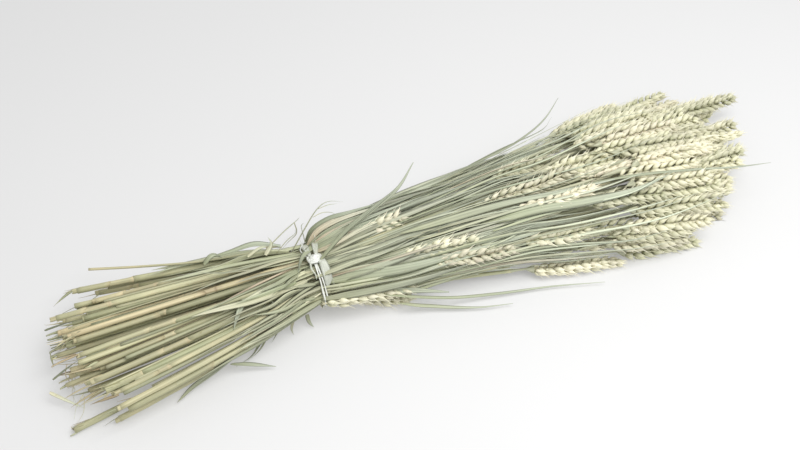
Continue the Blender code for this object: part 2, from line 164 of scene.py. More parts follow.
@dataclass
class Surface:
    """Closed patches that make up one piece.

    It holds points, faces, grain coordinates and three numbers a point: tone, share along and paleness.
    """

    points: list[Array] = field(default_factory=list)
    corners: list[NDArray[np.int64]] = field(default_factory=list)
    sizes: list[NDArray[np.int64]] = field(default_factory=list)
    grain: list[Array] = field(default_factory=list)
    tone: list[Array] = field(default_factory=list)
    share: list[Array] = field(default_factory=list)
    pale: list[Array] = field(default_factory=list)
    count: int = 0

    def add_rings(
        self, rings: Array, girth: float, tone: Array | float, share: Array | float, pale: Array | float = 0.5
    ) -> None:
        """Adds a stack of rings, closed round each ring and by a fan of triangles at both ends.

        A face joins ring i to ring i + 1 between its points j and j + 1. The grain coordinates are
        the distance along the stack and the share of the girth round it, both in metres.

        Args:
            rings: Points by ring and place round the ring, turning from the side vector to the normal.
            girth: The length round a typical ring.
            tone: Dryness from green 0 to brown 1, for the patch, each ring or each point.
            share: Share of the way from root to tip, for the patch, each ring or each point.
            pale: Paleness from dark 0 to light 1, for the patch, each ring or each point.
        """
        rows, around = rings.shape[:2]
        middles = rings.mean(axis=1)
        length = travelled(middles)
        reach = girth * np.arange(around + 1) / around
        i, j = (axis.ravel() for axis in np.meshgrid(np.arange(rows - 1), np.arange(around), indexing="ij"))
        k = (j + 1) % around
        quads = np.stack([i * around + j, i * around + k, (i + 1) * around + k, (i + 1) * around + j], axis=1)
        quad_grain = np.stack([length[[i, i, i + 1, i + 1]], reach[[j, j + 1, j + 1, j]]], axis=-1)
        spot = np.arange(around)
        following = (spot + 1) % around
        last = (rows - 1) * around
        root = np.stack([np.full(around, rows * around), following, spot], axis=1)
        tip = np.stack([np.full(around, rows * around + 1), last + spot, last + following], axis=1)
        root_grain = np.stack([np.zeros((3, around)), reach[[spot, spot + 1, spot]]], axis=-1)
        tip_grain = np.stack([np.full((3, around), length[-1]), reach[[spot, spot, spot + 1]]], axis=-1)
        self.points.append(np.concatenate([rings.reshape(-1, 3), middles[[0, -1]]]))
        self.corners += [quads.ravel() + self.count, root.ravel() + self.count, tip.ravel() + self.count]
        self.sizes += [np.full(len(quads), 4), np.full(2 * around, 3)]
        self.grain += [g.transpose(1, 0, 2).reshape(-1, 2) for g in (quad_grain, root_grain, tip_grain)]
        for values, kept in ((tone, self.tone), (share, self.share), (pale, self.pale)):
            spread = np.asarray(values, float)
            spread = spread[:, None] if spread.ndim == 1 else spread
            full = np.broadcast_to(spread, (rows, around))
            kept.append(np.concatenate([full.ravel(), full[[0, -1]].mean(axis=1)]))
        self.count += rows * around + 2

    def add_copies(self, shape: "Surface", turns: Array, places: Array, tones: Array, pales: Array) -> None:
        """Adds turned and scaled copies of a small shape: each point is turn times point, plus place.

        Args:
            shape: The shape to copy.
            turns: A 3 by 3 matrix for each copy.
            places: Where each copy's origin goes.
            tones: The tone of each copy, added to the shape's own.
            pales: The paleness of each copy, added to the shape's own.
        """
        points, corners, sizes, grain, tone, share, pale = shape.joined()
        copies = len(places)
        placed = np.einsum("kab,pb->kpa", turns, points) + places[:, None]
        offsets = self.count + len(points) * np.arange(copies)
        self.points.append(placed.reshape(-1, 3))
        self.corners.append((corners[None] + offsets[:, None]).ravel())
        self.sizes.append(np.tile(sizes, copies))
        stretch = np.linalg.norm(turns[:, :, 0], axis=1)
        self.grain.append((grain[None] * stretch[:, None, None] + places[:, None, :2] * 3).reshape(-1, 2))
        self.tone.append((tone[None] + tones[:, None]).ravel())
        self.share.append(np.tile(share, copies))
        self.pale.append((pale[None] + pales[:, None]).ravel())
        self.count += len(points) * copies

    def joined(self) -> tuple[Array, ...]:
        """All points, corners, face sizes, grain coordinates, tones, shares and palenesses."""
        kept = (self.points, self.corners, self.sizes, self.grain, self.tone, self.share, self.pale)
        return tuple(np.concatenate(parts) for parts in kept)

    def piece(self, name: str, finish: bpy.types.Material, slot: Slot, *nodes: str) -> bpy.types.Object:
        """Makes the mesh object, and puts it in the frame.

        Args:
            name: The piece's name.
            finish: Its material.
            slot: The record's slot for that finish; not used.
            nodes: The plain solids that it stands for.

        Returns:
            The object, at the origin.
        """
        points, corners, sizes, grain, tone, share, pale = self.joined()
        points[:, 2] = np.maximum(points[:, 2], GROUND_CLEARANCE)
        mesh = bpy.data.meshes.new(name)
        mesh.vertices.add(len(points))
        mesh.vertices.foreach_set("co", points.astype(np.float32).ravel())
        mesh.loops.add(len(corners))
        mesh.loops.foreach_set("vertex_index", corners.astype(np.int32))
        mesh.polygons.add(len(sizes))
        starts = np.concatenate([[0], np.cumsum(sizes)[:-1]])
        mesh.polygons.foreach_set("loop_start", starts.astype(np.int32))
        mesh.polygons.foreach_set("loop_total", sizes.astype(np.int32))
        mesh.update(calc_edges=True)
        layer = mesh.uv_layers.new(name="grain")
        layer.data.foreach_set("uv", grain.astype(np.float32).ravel())
        for label, values in (("tone", tone), ("share", share), ("pale", pale)):
            attribute = mesh.attributes.new(label, "FLOAT", "POINT")
            attribute.data.foreach_set("value", np.clip(values, 0, 1).astype(np.float32))
        mesh.polygons.foreach_set("use_smooth", np.ones(len(sizes), dtype=bool))
        mesh.materials.append(finish)
        mesh.validate()
        item = bpy.data.objects.new(name, mesh)
        bpy.context.scene.collection.objects.link(item)
        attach(item, BODY)
        if nodes:
            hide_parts(*nodes)
        LOG.info("%s: %d faces", name, len(sizes))
        return item


def tube_rings(line: Array, side: Array, normal: Array, wide: Array, high: Array, around: int) -> Array:
    """Rings round a line: the middle, plus side times wide times cos, plus normal times high times sin.

    Args:
        line: Middles of the rings.
        side: Side vector at each.
        normal: Normal at each.
        wide: Half width, one for each ring or each point of each ring.
        high: Half height, likewise.
        around: Points in a ring.

    Returns:
        Points by ring and place.
    """
    turn = TURN * np.arange(around) / around
    wide, high = (np.broadcast_to(r[:, None] if r.ndim == 1 else r, (len(line), around)) for r in (wide, high))
    return (
        line[:, None]
        + side[:, None] * (wide * np.cos(turn))[..., None]
        + normal[:, None] * (high * np.sin(turn))[..., None]
    )


def ribbon_rings(
    line: Array, side: Array, normal: Array, half: Array, fold: Array | float, thick: float, places: int = 5
) -> Array:
    """Rings of a thin blade, flat or folded along its middle rib.

    Across the blade s runs from 1 to -1 on the upper face and back on the lower. A point is the
    middle, plus side times s times half width times cos fold, plus normal times the fold's rise,
    abs(s) times half width times sin fold, plus or minus half the thickness, which is nil at the edges.

    Args:
        line: The middle rib.
        side: Side vector at each point.
        normal: Normal at each point.
        half: Half width at each point.
        fold: How far each half of the blade is folded up, in radians.
        thick: Thickness at the rib.
        places: Points across a face, edges included.

    Returns:
        Points by ring and place.
    """
    upper = np.linspace(1, -1, places)
    s = np.concatenate([upper, -upper[1:-1]])
    face = np.concatenate([np.ones(places), -np.ones(places - 2)])
    fold = np.broadcast_to(fold, half.shape)
    out = s * (half * np.cos(fold))[:, None]
    rib = np.sqrt(s**2 + 0.01) - 0.1
    rise = rib * (half * np.sin(fold))[:, None] + face * (thick / 2) * (1 - s**2) * np.ones((len(half), 1))
    return line[:, None] + side[:, None] * out[..., None] + normal[:, None] * rise[..., None]


# ---------------------------------------------------------------------------------------------
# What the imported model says


@dataclass(frozen=True)
class Strand:
    """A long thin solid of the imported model: its middle line, its half width and how much drier it is."""

    name: str
    line: Array
    radius: Array
    dry: float = 0.0

    @classmethod
    def of_node(cls, name: str, corners: int) -> "Strand":
        """Reads a strand from its solid, whose corners come in rings across the bundle's length.

        Args:
            name: The node's name.
            corners: How many corners a ring has.

        Returns:
            The strand, from its end nearest the cut ends.
        """
        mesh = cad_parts[name].data
        points = np.empty(3 * len(mesh.vertices), np.float32)
        mesh.vertices.foreach_get("co", points)
        points = np.unique(points.reshape(-1, 3).astype(float).round(6), axis=0)
        rings = points[np.argsort(points[:, 0], kind="stable")].reshape(-1, corners, 3)
        middles = rings.mean(axis=1)
        return cls(name, middles, np.linalg.norm(rings - middles[:, None], axis=2).max(axis=1))

    def at(self, x: Array) -> tuple[Array, Array]:
        """Reads the strand on smooth curves through its rings.

        Args:
            x: Places along the bundle.

        Returns:
            The line's points and the radii there.
        """
        both = np.column_stack([self.line[:, 1:], self.radius])
        read = through(both, self.line[:, 0], x)
        return np.column_stack([x, read[:, :2]]), read[:, 2]


def ear_points(stalk: Strand, count: int) -> Array:
    """Points along a stalk's ear."""
    return stalk.at(np.linspace(stalk.line[-EAR_RINGS, 0], stalk.line[-1, 0], count))[0]


@dataclass(frozen=True)
class InnerStalks:
    """Stalks that lie between their neighbours, as the bundle holds more than its solids show.

    A point of such a stalk is the mix of its two neighbours' points at the same share of the way from
    the tie to the ear, or at the same ring of the ear. Every pair whose ears' middles are near each
    other is tried, and the one whose mixed ear is farthest from all ears so far, or highest, is taken.
    """

    stalks: list[Strand]
    tie: float
    count: int = 32
    near: float = 0.034
    height_share: float = 0.10
    straw_rings: int = 8
    straw_radius: float = 0.0013
    seed: int = 61

    def found(self) -> list[Strand]:
        """Works them out.

        Returns:
            The stalks, from the tie to the tips of their ears.
        """
        rng = np.random.default_rng(self.seed)
        ears = np.array([s.line[-EAR_RINGS:] for s in self.stalks])
        girths = np.array([s.radius[-EAR_RINGS:] for s in self.stalks])
        centre = EAR_RINGS // 2
        apart = np.linalg.norm(ears[:, None, centre] - ears[None, :, centre], axis=2)
        first, second = np.nonzero(np.triu(apart < self.near, 1))
        share = rng.uniform(0.38, 0.62, len(first))[:, None, None]
        slide = rng.uniform(-0.014, 0.010, len(first))
        mixed = ears[first] * (1 - share) + ears[second] * share
        mixed[:, :, 0] += slide[:, None]
        standing = np.concatenate([ear_points(s, 12) for s in self.stalks])
        way = np.arange(self.straw_rings) / self.straw_rings
        found = []
        for number in range(self.count):
            clear = np.linalg.norm(mixed[:, 1:-1, None] - standing, axis=3).min(axis=(1, 2))
            best = int(np.argmax(clear + self.height_share * mixed[:, centre, 2]))
            mix = share[best, 0, 0]
            one, other = (
                s.at(self.tie + way * (s.line[-EAR_RINGS, 0] - self.tie))[0]
                for s in (self.stalks[first[best]], self.stalks[second[best]])
            )
            line = np.concatenate([one * (1 - mix) + other * mix, mixed[best]])
            line[: self.straw_rings, 0] += slide[best] * way
            ear_radius = (girths[first[best]] + girths[second[best]]) / 2
            radius = np.concatenate([np.full(self.straw_rings, self.straw_radius), ear_radius])
            found.append(Strand(f"inner_stalk_{number + 1:02d}", line, radius))
            standing = np.concatenate([standing, mixed[best]])
        return found


def tie_middle() -> float:
    """Where along the bundle the twine's turns lie: half their width past the twine's low end."""
    half_width = 0.0038
    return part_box("twine_tie")[0].x + half_width


@dataclass
class Skin:
    """The outer surface of the gathered stalks, read by place along the bundle and angle round it.

    At each place the stalks' circles sit in a box with a middle and half extents a and b. The angle
    t points along (a cos t, b sin t): 0 is the far side, a quarter turn is the top, half a turn is
    the near side. The radius is the farthest crossing of that ray with any circle, widened and then
    evened out over the neighbouring rays and places.
    """

    strands: list[Strand]
    places: Array
    swell: float = 0.0012
    rays: int = 96
    spill: float = 0.985
    past_ends: float = 0.02

    def __post_init__(self) -> None:
        """Measures the middle, the half extents and the radius at every place and angle."""
        self.angles = TURN * np.arange(self.rays) / self.rays
        rows = [self._cut(x) for x in self.places]
        self.middle = self._even(np.array([row[0] for row in rows]))
        self.half = self._even(np.array([row[1] for row in rows]))
        reach = np.array([row[2] for row in rows])
        for step in (-2, -1, 1, 2):
            reach = np.maximum(reach, np.roll(reach, step, axis=1) * self.spill)
        for _ in range(3):
            reach = (np.roll(reach, 1, axis=1) + 2 * reach + np.roll(reach, -1, axis=1)) / 4
            reach = self._even(reach)
        self.reach = reach

    @staticmethod
    def _even(values: Array) -> Array:
        """Each row blended with the rows before and after it."""
        inner = (values[:-2] + 2 * values[1:-1] + values[2:]) / 4
        return np.concatenate([values[:1], inner, values[-1:]])

    def _cut(self, x: float) -> tuple[Array, Array, Array]:
        """Measures the bundle's section at one place.

        Args:
            x: The place.

        Returns:
            The section's middle, its half extents, and its radius at each angle.
        """
        spare = self.past_ends
        found = [s for s in self.strands if s.line[0, 0] - spare <= x <= s.line[-1, 0] + spare]
        centres = np.array([[np.interp(x, s.line[:, 0], s.line[:, axis]) for axis in (1, 2)] for s in found])
        radii = np.array([np.interp(x, s.line[:, 0], s.radius) for s in found])
        low = (centres - radii[:, None]).min(axis=0)
        high = (centres + radii[:, None]).max(axis=0)
        middle, half = (low + high) / 2, (high - low) / 2
        ray = unit(np.stack([np.cos(self.angles) * half[0], np.sin(self.angles) * half[1]], axis=1))
        out = (centres - middle) @ ray.T
        off = (centres - middle) @ np.stack([-ray[:, 1], ray[:, 0]])
        wide = (radii + self.swell)[:, None]
        crossing = out + np.sqrt(np.clip(wide**2 - off**2, 0, None))
        return middle, half, np.where(np.abs(off) < wide, crossing, 0).max(axis=0)

    def at(self, x: Array, angle: Array, lift: Array | float) -> Array:
        """Points of the surface.

        Args:
            x: Places along the bundle.
            angle: Angles round it.
            lift: How far outside the surface.

        Returns:
            One point a row.
        """
        column = (x - self.places[0]) / (self.places[1] - self.places[0])
        column = np.clip(column, 0, len(self.places) - 1.001)
        i, a = column.astype(int), (column % 1)
        turn = (angle % TURN) / TURN * self.rays
        j, b = turn.astype(int) % self.rays, turn % 1
        k = (j + 1) % self.rays
        reach = (1 - a) * ((1 - b) * self.reach[i, j] + b * self.reach[i, k])
        reach += a * ((1 - b) * self.reach[i + 1, j] + b * self.reach[i + 1, k])
        middle = (1 - a)[:, None] * self.middle[i] + a[:, None] * self.middle[i + 1]
        half = (1 - a)[:, None] * self.half[i] + a[:, None] * self.half[i + 1]
        ray = unit(np.stack([np.cos(angle) * half[:, 0], np.sin(angle) * half[:, 1]], axis=1))
        return np.column_stack([x, middle + ray * (reach + lift)[:, None]])

    def outward(self, x: Array, angle: Array) -> Array:
        """Works out directions straight out of the surface: the x axis cross the way round the bundle.

        Args:
            x: Places along the bundle.
            angle: Angles round it.

        Returns:
            One unit vector a row.
        """
        step = 0.12
        round_it = unit(self.at(x, angle + step, 0.0) - self.at(x, angle - step, 0.0))
        return unit(np.cross(round_it, np.array([1.0, 0.0, 0.0])) * -1)


@dataclass(frozen=True)
class EarMap:
    """Points along every ear, so that leaves can stop short of them."""

    points: Array
    reach: float

    @classmethod
    def of_stalks(cls, stalks: list[Strand], reach: float = 0.0082) -> "EarMap":
        """Marks each ear with points about 6 mm apart.

        Args:
            stalks: The stalks.
            reach: How near an ear's middle line a leaf touches it.

        Returns:
            The map.
        """
        return cls(np.concatenate([ear_points(s, 14) for s in stalks]), reach)

    def first_touch(self, line: Array) -> float:
        """The share of a line at which it first comes within reach of an ear, or 1 if it never does."""
        near = np.linalg.norm(line[:, None] - self.points[None], axis=2).min(axis=1) < self.reach
        return float(np.argmax(near)) / (len(line) - 1) if near.any() else 1.0


# ---------------------------------------------------------------------------------------------
# Finishes


@dataclass
class Graph:
    """A material under construction, with short ways to add and join its nodes."""

    material: bpy.types.Material

    @classmethod
    def named(cls, name: str) -> "Graph":
        """Starts a material that has only its shader and output.

        Args:
            name: The material's name.

        Returns:
            The graph.
        """
        material = bpy.data.materials.new(name)
        material.use_nodes = True
        return cls(material)

    @property
    def shader(self) -> bpy.types.Node:
        """The Principled shader."""
        return self.material.node_tree.nodes["Principled BSDF"]

    def add(self, kind: str, **settings: object) -> bpy.types.Node:
        """Adds a node.

        Args:
            kind: The node's type.
            settings: Properties to set on it.

        Returns:
            The node.
        """
        node = self.material.node_tree.nodes.new(kind)
        for label, value in settings.items():
            setattr(node, label, value)
        return node

    def join(self, source: Socket, target: Socket) -> None:
        """Links an output to an input."""
        self.material.node_tree.links.new(source, target)

    def feed(self, node: bpy.types.Node, place: int, value: Socket | float | tuple[float, ...]) -> None:
        """Gives a node's input a link, a number or a colour.

        Args:
            node: The node.
            place: Which input.
            value: What it gets.
        """
        if isinstance(value, Socket):
            self.join(value, node.inputs[place])
        else:
            node.inputs[place].default_value = value

    def number(self, operation: str, *values: Socket | float) -> Socket:
        """Adds a Math node.

        Args:
            operation: What it does.
            values: Its inputs.

        Returns:
            The result.
        """
        node = self.add("ShaderNodeMath", operation=operation)
        for place, value in enumerate(values):
            self.feed(node, place, value)
        return node.outputs[0]

    def value_of(self, name: str) -> Socket:
        """A number stored on the piece's points."""
        return self.add("ShaderNodeAttribute", attribute_name=name).outputs["Fac"]

    def noise(self, source: Socket, scale: tuple[float, float, float], detail: float) -> Socket:
        """Adds noise on stretched coordinates.

        Args:
            source: The coordinates.
            scale: What each of them is multiplied by.
            detail: How many finer octaves it has.

        Returns:
            The noise's value.
        """
        mapping = self.add("ShaderNodeMapping")
        mapping.inputs["Scale"].default_value = scale
        self.join(source, mapping.inputs["Vector"])
        noise = self.add("ShaderNodeTexNoise")
        noise.inputs["Scale"].default_value = 1.0
        noise.inputs["Detail"].default_value = detail
        self.join(mapping.outputs[0], noise.inputs["Vector"])
        return noise.outputs["Fac"]

    def ramp(self, source: Socket, stops: tuple[tuple[float, Colour], ...]) -> Socket:
        """Adds colours read by a number, blended between stops.

        Args:
            source: The number.
            stops: Where each colour stands, and the colour.

        Returns:
            The colour.
        """
        node = self.add("ShaderNodeValToRGB")
        elements = node.color_ramp.elements
        while len(elements) < len(stops):
            elements.new(0.5)
        for element, (place, colour) in zip(elements, stops):
            element.position = place
            element.color = (*colour, 1.0)
        self.join(source, node.inputs["Fac"])
        return node.outputs["Color"]

    def blend(self, mode: str, share: Socket | float, first: Socket, second: Socket | Colour) -> Socket:
        """Adds a mix of two colours.

        Args:
            mode: How they mix.
            share: How much of the mix shows.
            first: One colour.
            second: The other.

        Returns:
            The colour.
        """
        node = self.add("ShaderNodeMix", data_type="RGBA", blend_type=mode)
        other = second if isinstance(second, Socket) else (*second, 1.0)
        for place, value in ((0, share), (6, first), (7, other)):
            self.feed(node, place, value)
        return node.outputs[2]

    def bump(self, *layers: tuple[Socket, float]) -> None:
        """Adds bumps to the shader's normal.

        Args:
            layers: The height and the depth in metres of each.
        """
        normal = None
        for height, depth in layers:
            node = self.add("ShaderNodeBump")
            node.inputs["Strength"].default_value = 1.0
            node.inputs["Distance"].default_value = depth
            self.join(height, node.inputs["Height"])
            if normal is not None:
                self.join(normal, node.inputs["Normal"])
            normal = node.outputs["Normal"]
        if normal is not None:
            self.join(normal, self.shader.inputs["Normal"])


@dataclass(frozen=True)
class TissueFinish:
    """Dried plant tissue: colours by tone, veins along the grain, blotches, and a soft dry surface.

    The tone runs from green to straw yellow to brown, and the paleness scales the colour's value: it varies at
    random, and in some places it is lowered as painted shade.
    Veins are noise stretched hundreds of times longer along the grain than across it, at two widths.
    Blotches are broad noise through space.
    """

    name: str
    stops: tuple[tuple[float, Colour], ...]
    tip: Colour
    tip_share: float
    vein_contrast: float
    blotch_contrast: float
    roughness: float
    vein_depth: float
    darkest: float = 0.62
    lightest: float = 1.30
    sheen: float = 0.0

    def made(self) -> bpy.types.Material:
        """Builds the material.

        Returns:
            The material, with its pattern on the piece's own grain coordinates and attributes.
        """
        graph = Graph.named(self.name)
        grain = graph.add("ShaderNodeUVMap", uv_map="grain").outputs["UV"]
        space = graph.add("ShaderNodeTexCoord").outputs["Object"]
        fine = graph.noise(grain, (26.0, 2600.0, 1.0), 2.0)
        broad = graph.noise(grain, (9.0, 620.0, 1.0), 2.0)
        blotch = graph.noise(space, (70.0, 70.0, 70.0), 3.0)
        speck = graph.noise(space, (420.0, 420.0, 420.0), 2.0)
        tone = graph.value_of("tone")
        drift = graph.number("MULTIPLY_ADD", blotch, self.blotch_contrast, -0.5 * self.blotch_contrast)
        colour = graph.ramp(graph.number("ADD", tone, drift), self.stops)
        tip = graph.number("MULTIPLY", graph.value_of("share"), self.tip_share)
        colour = graph.blend("MIX", tip, colour, self.tip)
        value = graph.number("MULTIPLY_ADD", graph.value_of("pale"), self.lightest - self.darkest, self.darkest)
        grey = graph.add("ShaderNodeCombineColor")
        for place in range(3):
            graph.join(value, grey.inputs[place])
        colour = graph.blend("MULTIPLY", 1.0, colour, grey.outputs[0])
        dark = 1 - self.vein_contrast
        streak = graph.ramp(broad, ((0.32, (dark, dark, dark * 0.97)), (0.62, (1.06, 1.06, 1.05))))
        colour = graph.blend("MULTIPLY", 1.0, colour, streak)
        thin = graph.ramp(fine, ((0.35, (dark, dark, dark)), (0.60, (1.04, 1.04, 1.04))))
        colour = graph.blend("MULTIPLY", 0.7, colour, thin)
        fleck = graph.ramp(speck, ((0.66, (1.0, 1.0, 1.0)), (0.78, (0.72, 0.64, 0.50))))
        colour = graph.blend("MULTIPLY", 0.6, colour, fleck)
        graph.join(colour, graph.shader.inputs["Base Color"])
        rough = graph.number("MULTIPLY_ADD", broad, 0.22, self.roughness - 0.11)
        graph.join(rough, graph.shader.inputs["Roughness"])
        graph.shader.inputs["Specular IOR Level"].default_value = 0.35
        graph.shader.inputs["Sheen Weight"].default_value = self.sheen
        graph.shader.inputs["Sheen Roughness"].default_value = 0.5
        graph.bump((broad, self.vein_depth), (fine, self.vein_depth * 0.45))
        return graph.material


@dataclass(frozen=True)
class TwineFinish:
    """White split-film twine: fine lengthwise fibres, a plastic gloss, and grey painted shade in its folds and
    between its fibres.
    """

    name: str = "white_film_twine"
    colour: Colour = (0.80, 0.81, 0.77)
    # The grey of painted shade, between fibres and in folds.
    fold: Colour = (0.56, 0.58, 0.50)
    roughness: float = 0.34
    solid: float = 1.0

    def made(self) -> bpy.types.Material:
        """Builds the material.

        Returns:
            The material, with its fibres along the grain coordinates.
        """
        graph = Graph.named(self.name)
        grain = graph.add("ShaderNodeUVMap", uv_map="grain").outputs["UV"]
        fibre = graph.noise(grain, (60.0, 4200.0, 1.0), 2.0)
        crease = graph.noise(grain, (140.0, 500.0, 1.0), 2.0)
        # Painted shade: the fibre noise greys the white towards the fold colour, and the crease noise darkens it
        # a little more.
        colour = graph.ramp(fibre, ((0.30, self.fold), (0.52, self.colour)))
        soft = graph.ramp(crease, ((0.30, (0.86, 0.87, 0.84)), (0.60, (1.0, 1.0, 1.0))))
        graph.join(graph.blend("MULTIPLY", 0.8, colour, soft), graph.shader.inputs["Base Color"])
        rough = graph.number("MULTIPLY_ADD", crease, 0.2, self.roughness - 0.1)
        graph.join(rough, graph.shader.inputs["Roughness"])
        graph.shader.inputs["Coat Weight"].default_value = 0.15
        graph.shader.inputs["Alpha"].default_value = self.solid
        graph.bump((fibre, 0.00008), (crease, 0.0002))
        return graph.material


@dataclass(frozen=True)
class FloorFinish:
    """A pale matt studio floor, lit a little from below, with a barely seen unevenness."""

    name: str = "studio_floor"
    colour: Colour = (0.45, 0.45, 0.45)
    glow: float = 0.295

    def made(self) -> bpy.types.Material:
        """Builds the material.

        Returns:
            The material, whose glow stands for light that a real floor would get back from the room.
        """
        graph = Graph.named(self.name)
        space = graph.add("ShaderNodeTexCoord").outputs["Object"]
        uneven = graph.noise(space, (1.5, 1.5, 1.5), 2.0)
        low = tuple(0.985 * c for c in self.colour)
        graph.join(graph.ramp(uneven, ((0.3, low), (0.7, self.colour))), graph.shader.inputs["Base Color"])
        graph.shader.inputs["Emission Color"].default_value = (1.0, 1.0, 1.0, 1.0)
        graph.shader.inputs["Emission Strength"].default_value = self.glow
        graph.shader.inputs["Roughness"].default_value = 0.85
        graph.shader.inputs["Specular IOR Level"].default_value = 0.1
        return graph.material


STRAW_FINISH = TissueFinish(
    name="dried_straw",
    stops=(
        (0.0, (0.38, 0.40, 0.24)),
        (0.30, (0.50, 0.48, 0.30)),
        (0.55, (0.66, 0.58, 0.36)),
        (0.78, (0.58, 0.47, 0.29)),
        (1.0, (0.28, 0.19, 0.10)),
    ),
    tip=(0.54, 0.58, 0.45),
    tip_share=0.60,
    vein_contrast=0.22,
    blotch_contrast=0.34,
    roughness=0.50,
    vein_depth=0.00012,
)
LEAF_FINISH = TissueFinish(
    name="dried_leaf",
    stops=(
        (0.0, (0.37, 0.41, 0.25)),
        (0.35, (0.54, 0.55, 0.37)),
        (0.65, (0.68, 0.65, 0.46)),
        (0.85, (0.70, 0.57, 0.41)),
        (1.0, (0.36, 0.26, 0.16)),
    ),
    tip=(0.63, 0.69, 0.57),
    tip_share=0.80,
    vein_contrast=0.32,
    blotch_contrast=0.28,
    roughness=0.56,
    vein_depth=0.00012,
    sheen=0.06,
)
HUSK_FINISH = TissueFinish(
    name="wheat_husk",
    stops=(
        (0.0, (0.40, 0.42, 0.24)),
        (0.35, (0.55, 0.54, 0.35)),
        (0.62, (0.66, 0.62, 0.45)),
        (0.85, (0.68, 0.56, 0.43)),
        (1.0, (0.36, 0.25, 0.15)),
    ),
    tip=(0.78, 0.76, 0.62),
    tip_share=0.62,
    vein_contrast=0.10,
    blotch_contrast=0.20,
    roughness=0.52,
    vein_depth=0.00006,
    darkest=0.72,
    lightest=1.22,
    sheen=0.06,
)


# ---------------------------------------------------------------------------------------------
# The straws


@dataclass
class Straws:
    """The straws of the stalks: hollow culms with joints, wrapped for most of their length in sheaths.

    Shares are of the solid's radius. The joints' ranges are places past the tie, and a sheath's lap
    is how far its free edge stands off.
    """

    stalks: list[Strand]
    finish: bpy.types.Material
    tie: float
    group: int = 5
    around: int = 14
    step: float = 0.006
    culm_share: float = 0.86
    bore_share: float = 0.55
    bore_depth: float = 0.009
    bore_tone: float = 0.35
    # Paleness inside the hollow end: painted shade, darker than the outside.
    bore_painted_shade: float = 0.1
    rim: float = 0.0008
    joint_swell: float = 0.20
    joint_reach: float = 0.0018
    joint_tone: float = 0.26
    low_joint: tuple[float, float] = (-0.165, -0.045)
    high_joint: tuple[float, float] = (0.0, 0.05)
    sheath_length: tuple[float, float] = (0.08, 0.14)
    sheath_lap: float = 0.16
    sheath_slant: float = 0.0022
    seed: int = 11

    def build(self) -> list[bpy.types.Object]:
        """Makes the straws, a few to a piece, from the top of the bundle to the ground.

        Returns:
            The pieces.
        """
        rng = np.random.default_rng(self.seed)
        pieces = []
        for first in range(0, len(self.stalks), self.group):
            some = self.stalks[first : first + self.group]
            surface = Surface()
            for stalk in some:
                self._straw(surface, stalk, rng)
            name = f"straws_{some[0].name[-2:]}_to_{some[-1].name[-2:]}"
            pieces.append(surface.piece(name, self.finish, Slot.STALK, *[s.name for s in some]))
        return pieces

    def _straw(self, surface: Surface, stalk: Strand, rng: np.random.Generator) -> None:
        """Adds one straw: its culm from the cut end into the ear, then its sheaths.

        Args:
            surface: What to add it to.
            stalk: The stalk's line and radius.
            rng: Source of its joints and its tone.
        """
        cut = stalk.line[0, 0]
        base = stalk.line[-EAR_RINGS, 0] + EAR_TUCK
        tone = rng.choice([0.14, 0.26, 0.38, 0.56], p=[0.25, 0.35, 0.25, 0.15]) + rng.uniform(-0.05, 0.05)
        joints = [self.tie + rng.uniform(*reach) for reach in (self.low_joint, self.high_joint)]
        joints = [x for x in joints if cut + 0.012 < x < base - 0.03]
        self._culm(surface, stalk, cut, base, joints, tone, rng)
        lower_end = (joints[0] if joints else cut + 0.05) - rng.uniform(0.004, 0.03)
        if lower_end > cut + 0.02:
            self._sheath(surface, stalk, cut + rng.uniform(0.0, 0.006), lower_end, tone, rng)
        for joint in joints:
            end = min(joint + rng.uniform(*self.sheath_length), base - 0.01)
            self._sheath(surface, stalk, joint + 0.0005, end, tone - 0.05, rng)

    def _culm(
        self, surface: Surface, stalk: Strand, cut: float, base: float, joints: list[float], tone: float,
        rng: np.random.Generator
    ) -> None:
        """Adds a culm with a hollow cut end.

        From the bottom of the bore the rings run out to the mouth, over the rim and along the outside.
        The outer radius is the solid's, less the sheath, plus a bell of swelling at each joint. The
        section is an ellipse with a little of the width moved into the height.

        Args:
            surface: What to add it to.
            stalk: The stalk's line and radius.
            cut: Where it is cut.
            base: Where it ends, in the ear.
            joints: Where its joints are.
            tone: Its tone.
            rng: Source of its variety.
        """
        count = int((base - cut) / self.step)
        evenly = cut + self.rim + (base - cut - self.rim) * np.arange(count + 1) / count
        round_joints = [joint + off for joint in joints for off in (-0.002, 0, 0.002)] or [cut + 0.001]
        bore = [cut + self.bore_depth, cut + 0.003, cut + 0.0003, cut]
        inside = slice(0, len(bore) - 1)
        x = np.concatenate([bore, np.union1d(evenly, np.array(round_joints))])
        line, radius = stalk.at(np.maximum(x, stalk.line[0, 0]))
        size = radius * self.culm_share
        for joint in joints:
            size = size * (1 + self.joint_swell * bell(x, joint, self.joint_reach))
        size[inside] = size[len(bore)] * self.bore_share
        size[0] *= 0.8
        _, side, normal = axes_along(line[len(bore) :], UP)
        side, normal = (np.concatenate([np.repeat(v[:1], len(bore), axis=0), v]) for v in (side, normal))
        side, normal = rolled(side, normal, np.full(len(x), rng.uniform(0, np.pi)))
        flat = rng.uniform(0.02, 0.20) * np.exp(-(x - cut) / 0.05) + rng.uniform(0.0, 0.10)
        rings = tube_rings(line, side, normal, size * (1 + 0.5 * flat), size * (1 - flat), self.around)
        ragged = rng.uniform(-1, 1, self.around) * rng.choice([0.0003, 0.0012])
        rings[2:5, :, 0] += ragged + 0.0006
        tones = np.full(len(x), tone + 0.10)
        for joint in joints:
            tones += self.joint_tone * bell(x, joint, 0.0014)
        tones[inside] = self.bore_tone
        share = np.clip((x - cut) / (base - cut), 0, 1)
        pale = np.full(len(x), rng.uniform(0.35, 0.65))
        # Painted shade inside the bore.
        pale[inside] = self.bore_painted_shade
        surface.add_rings(rings, TURN * float(size.mean()), tones, share, pale)

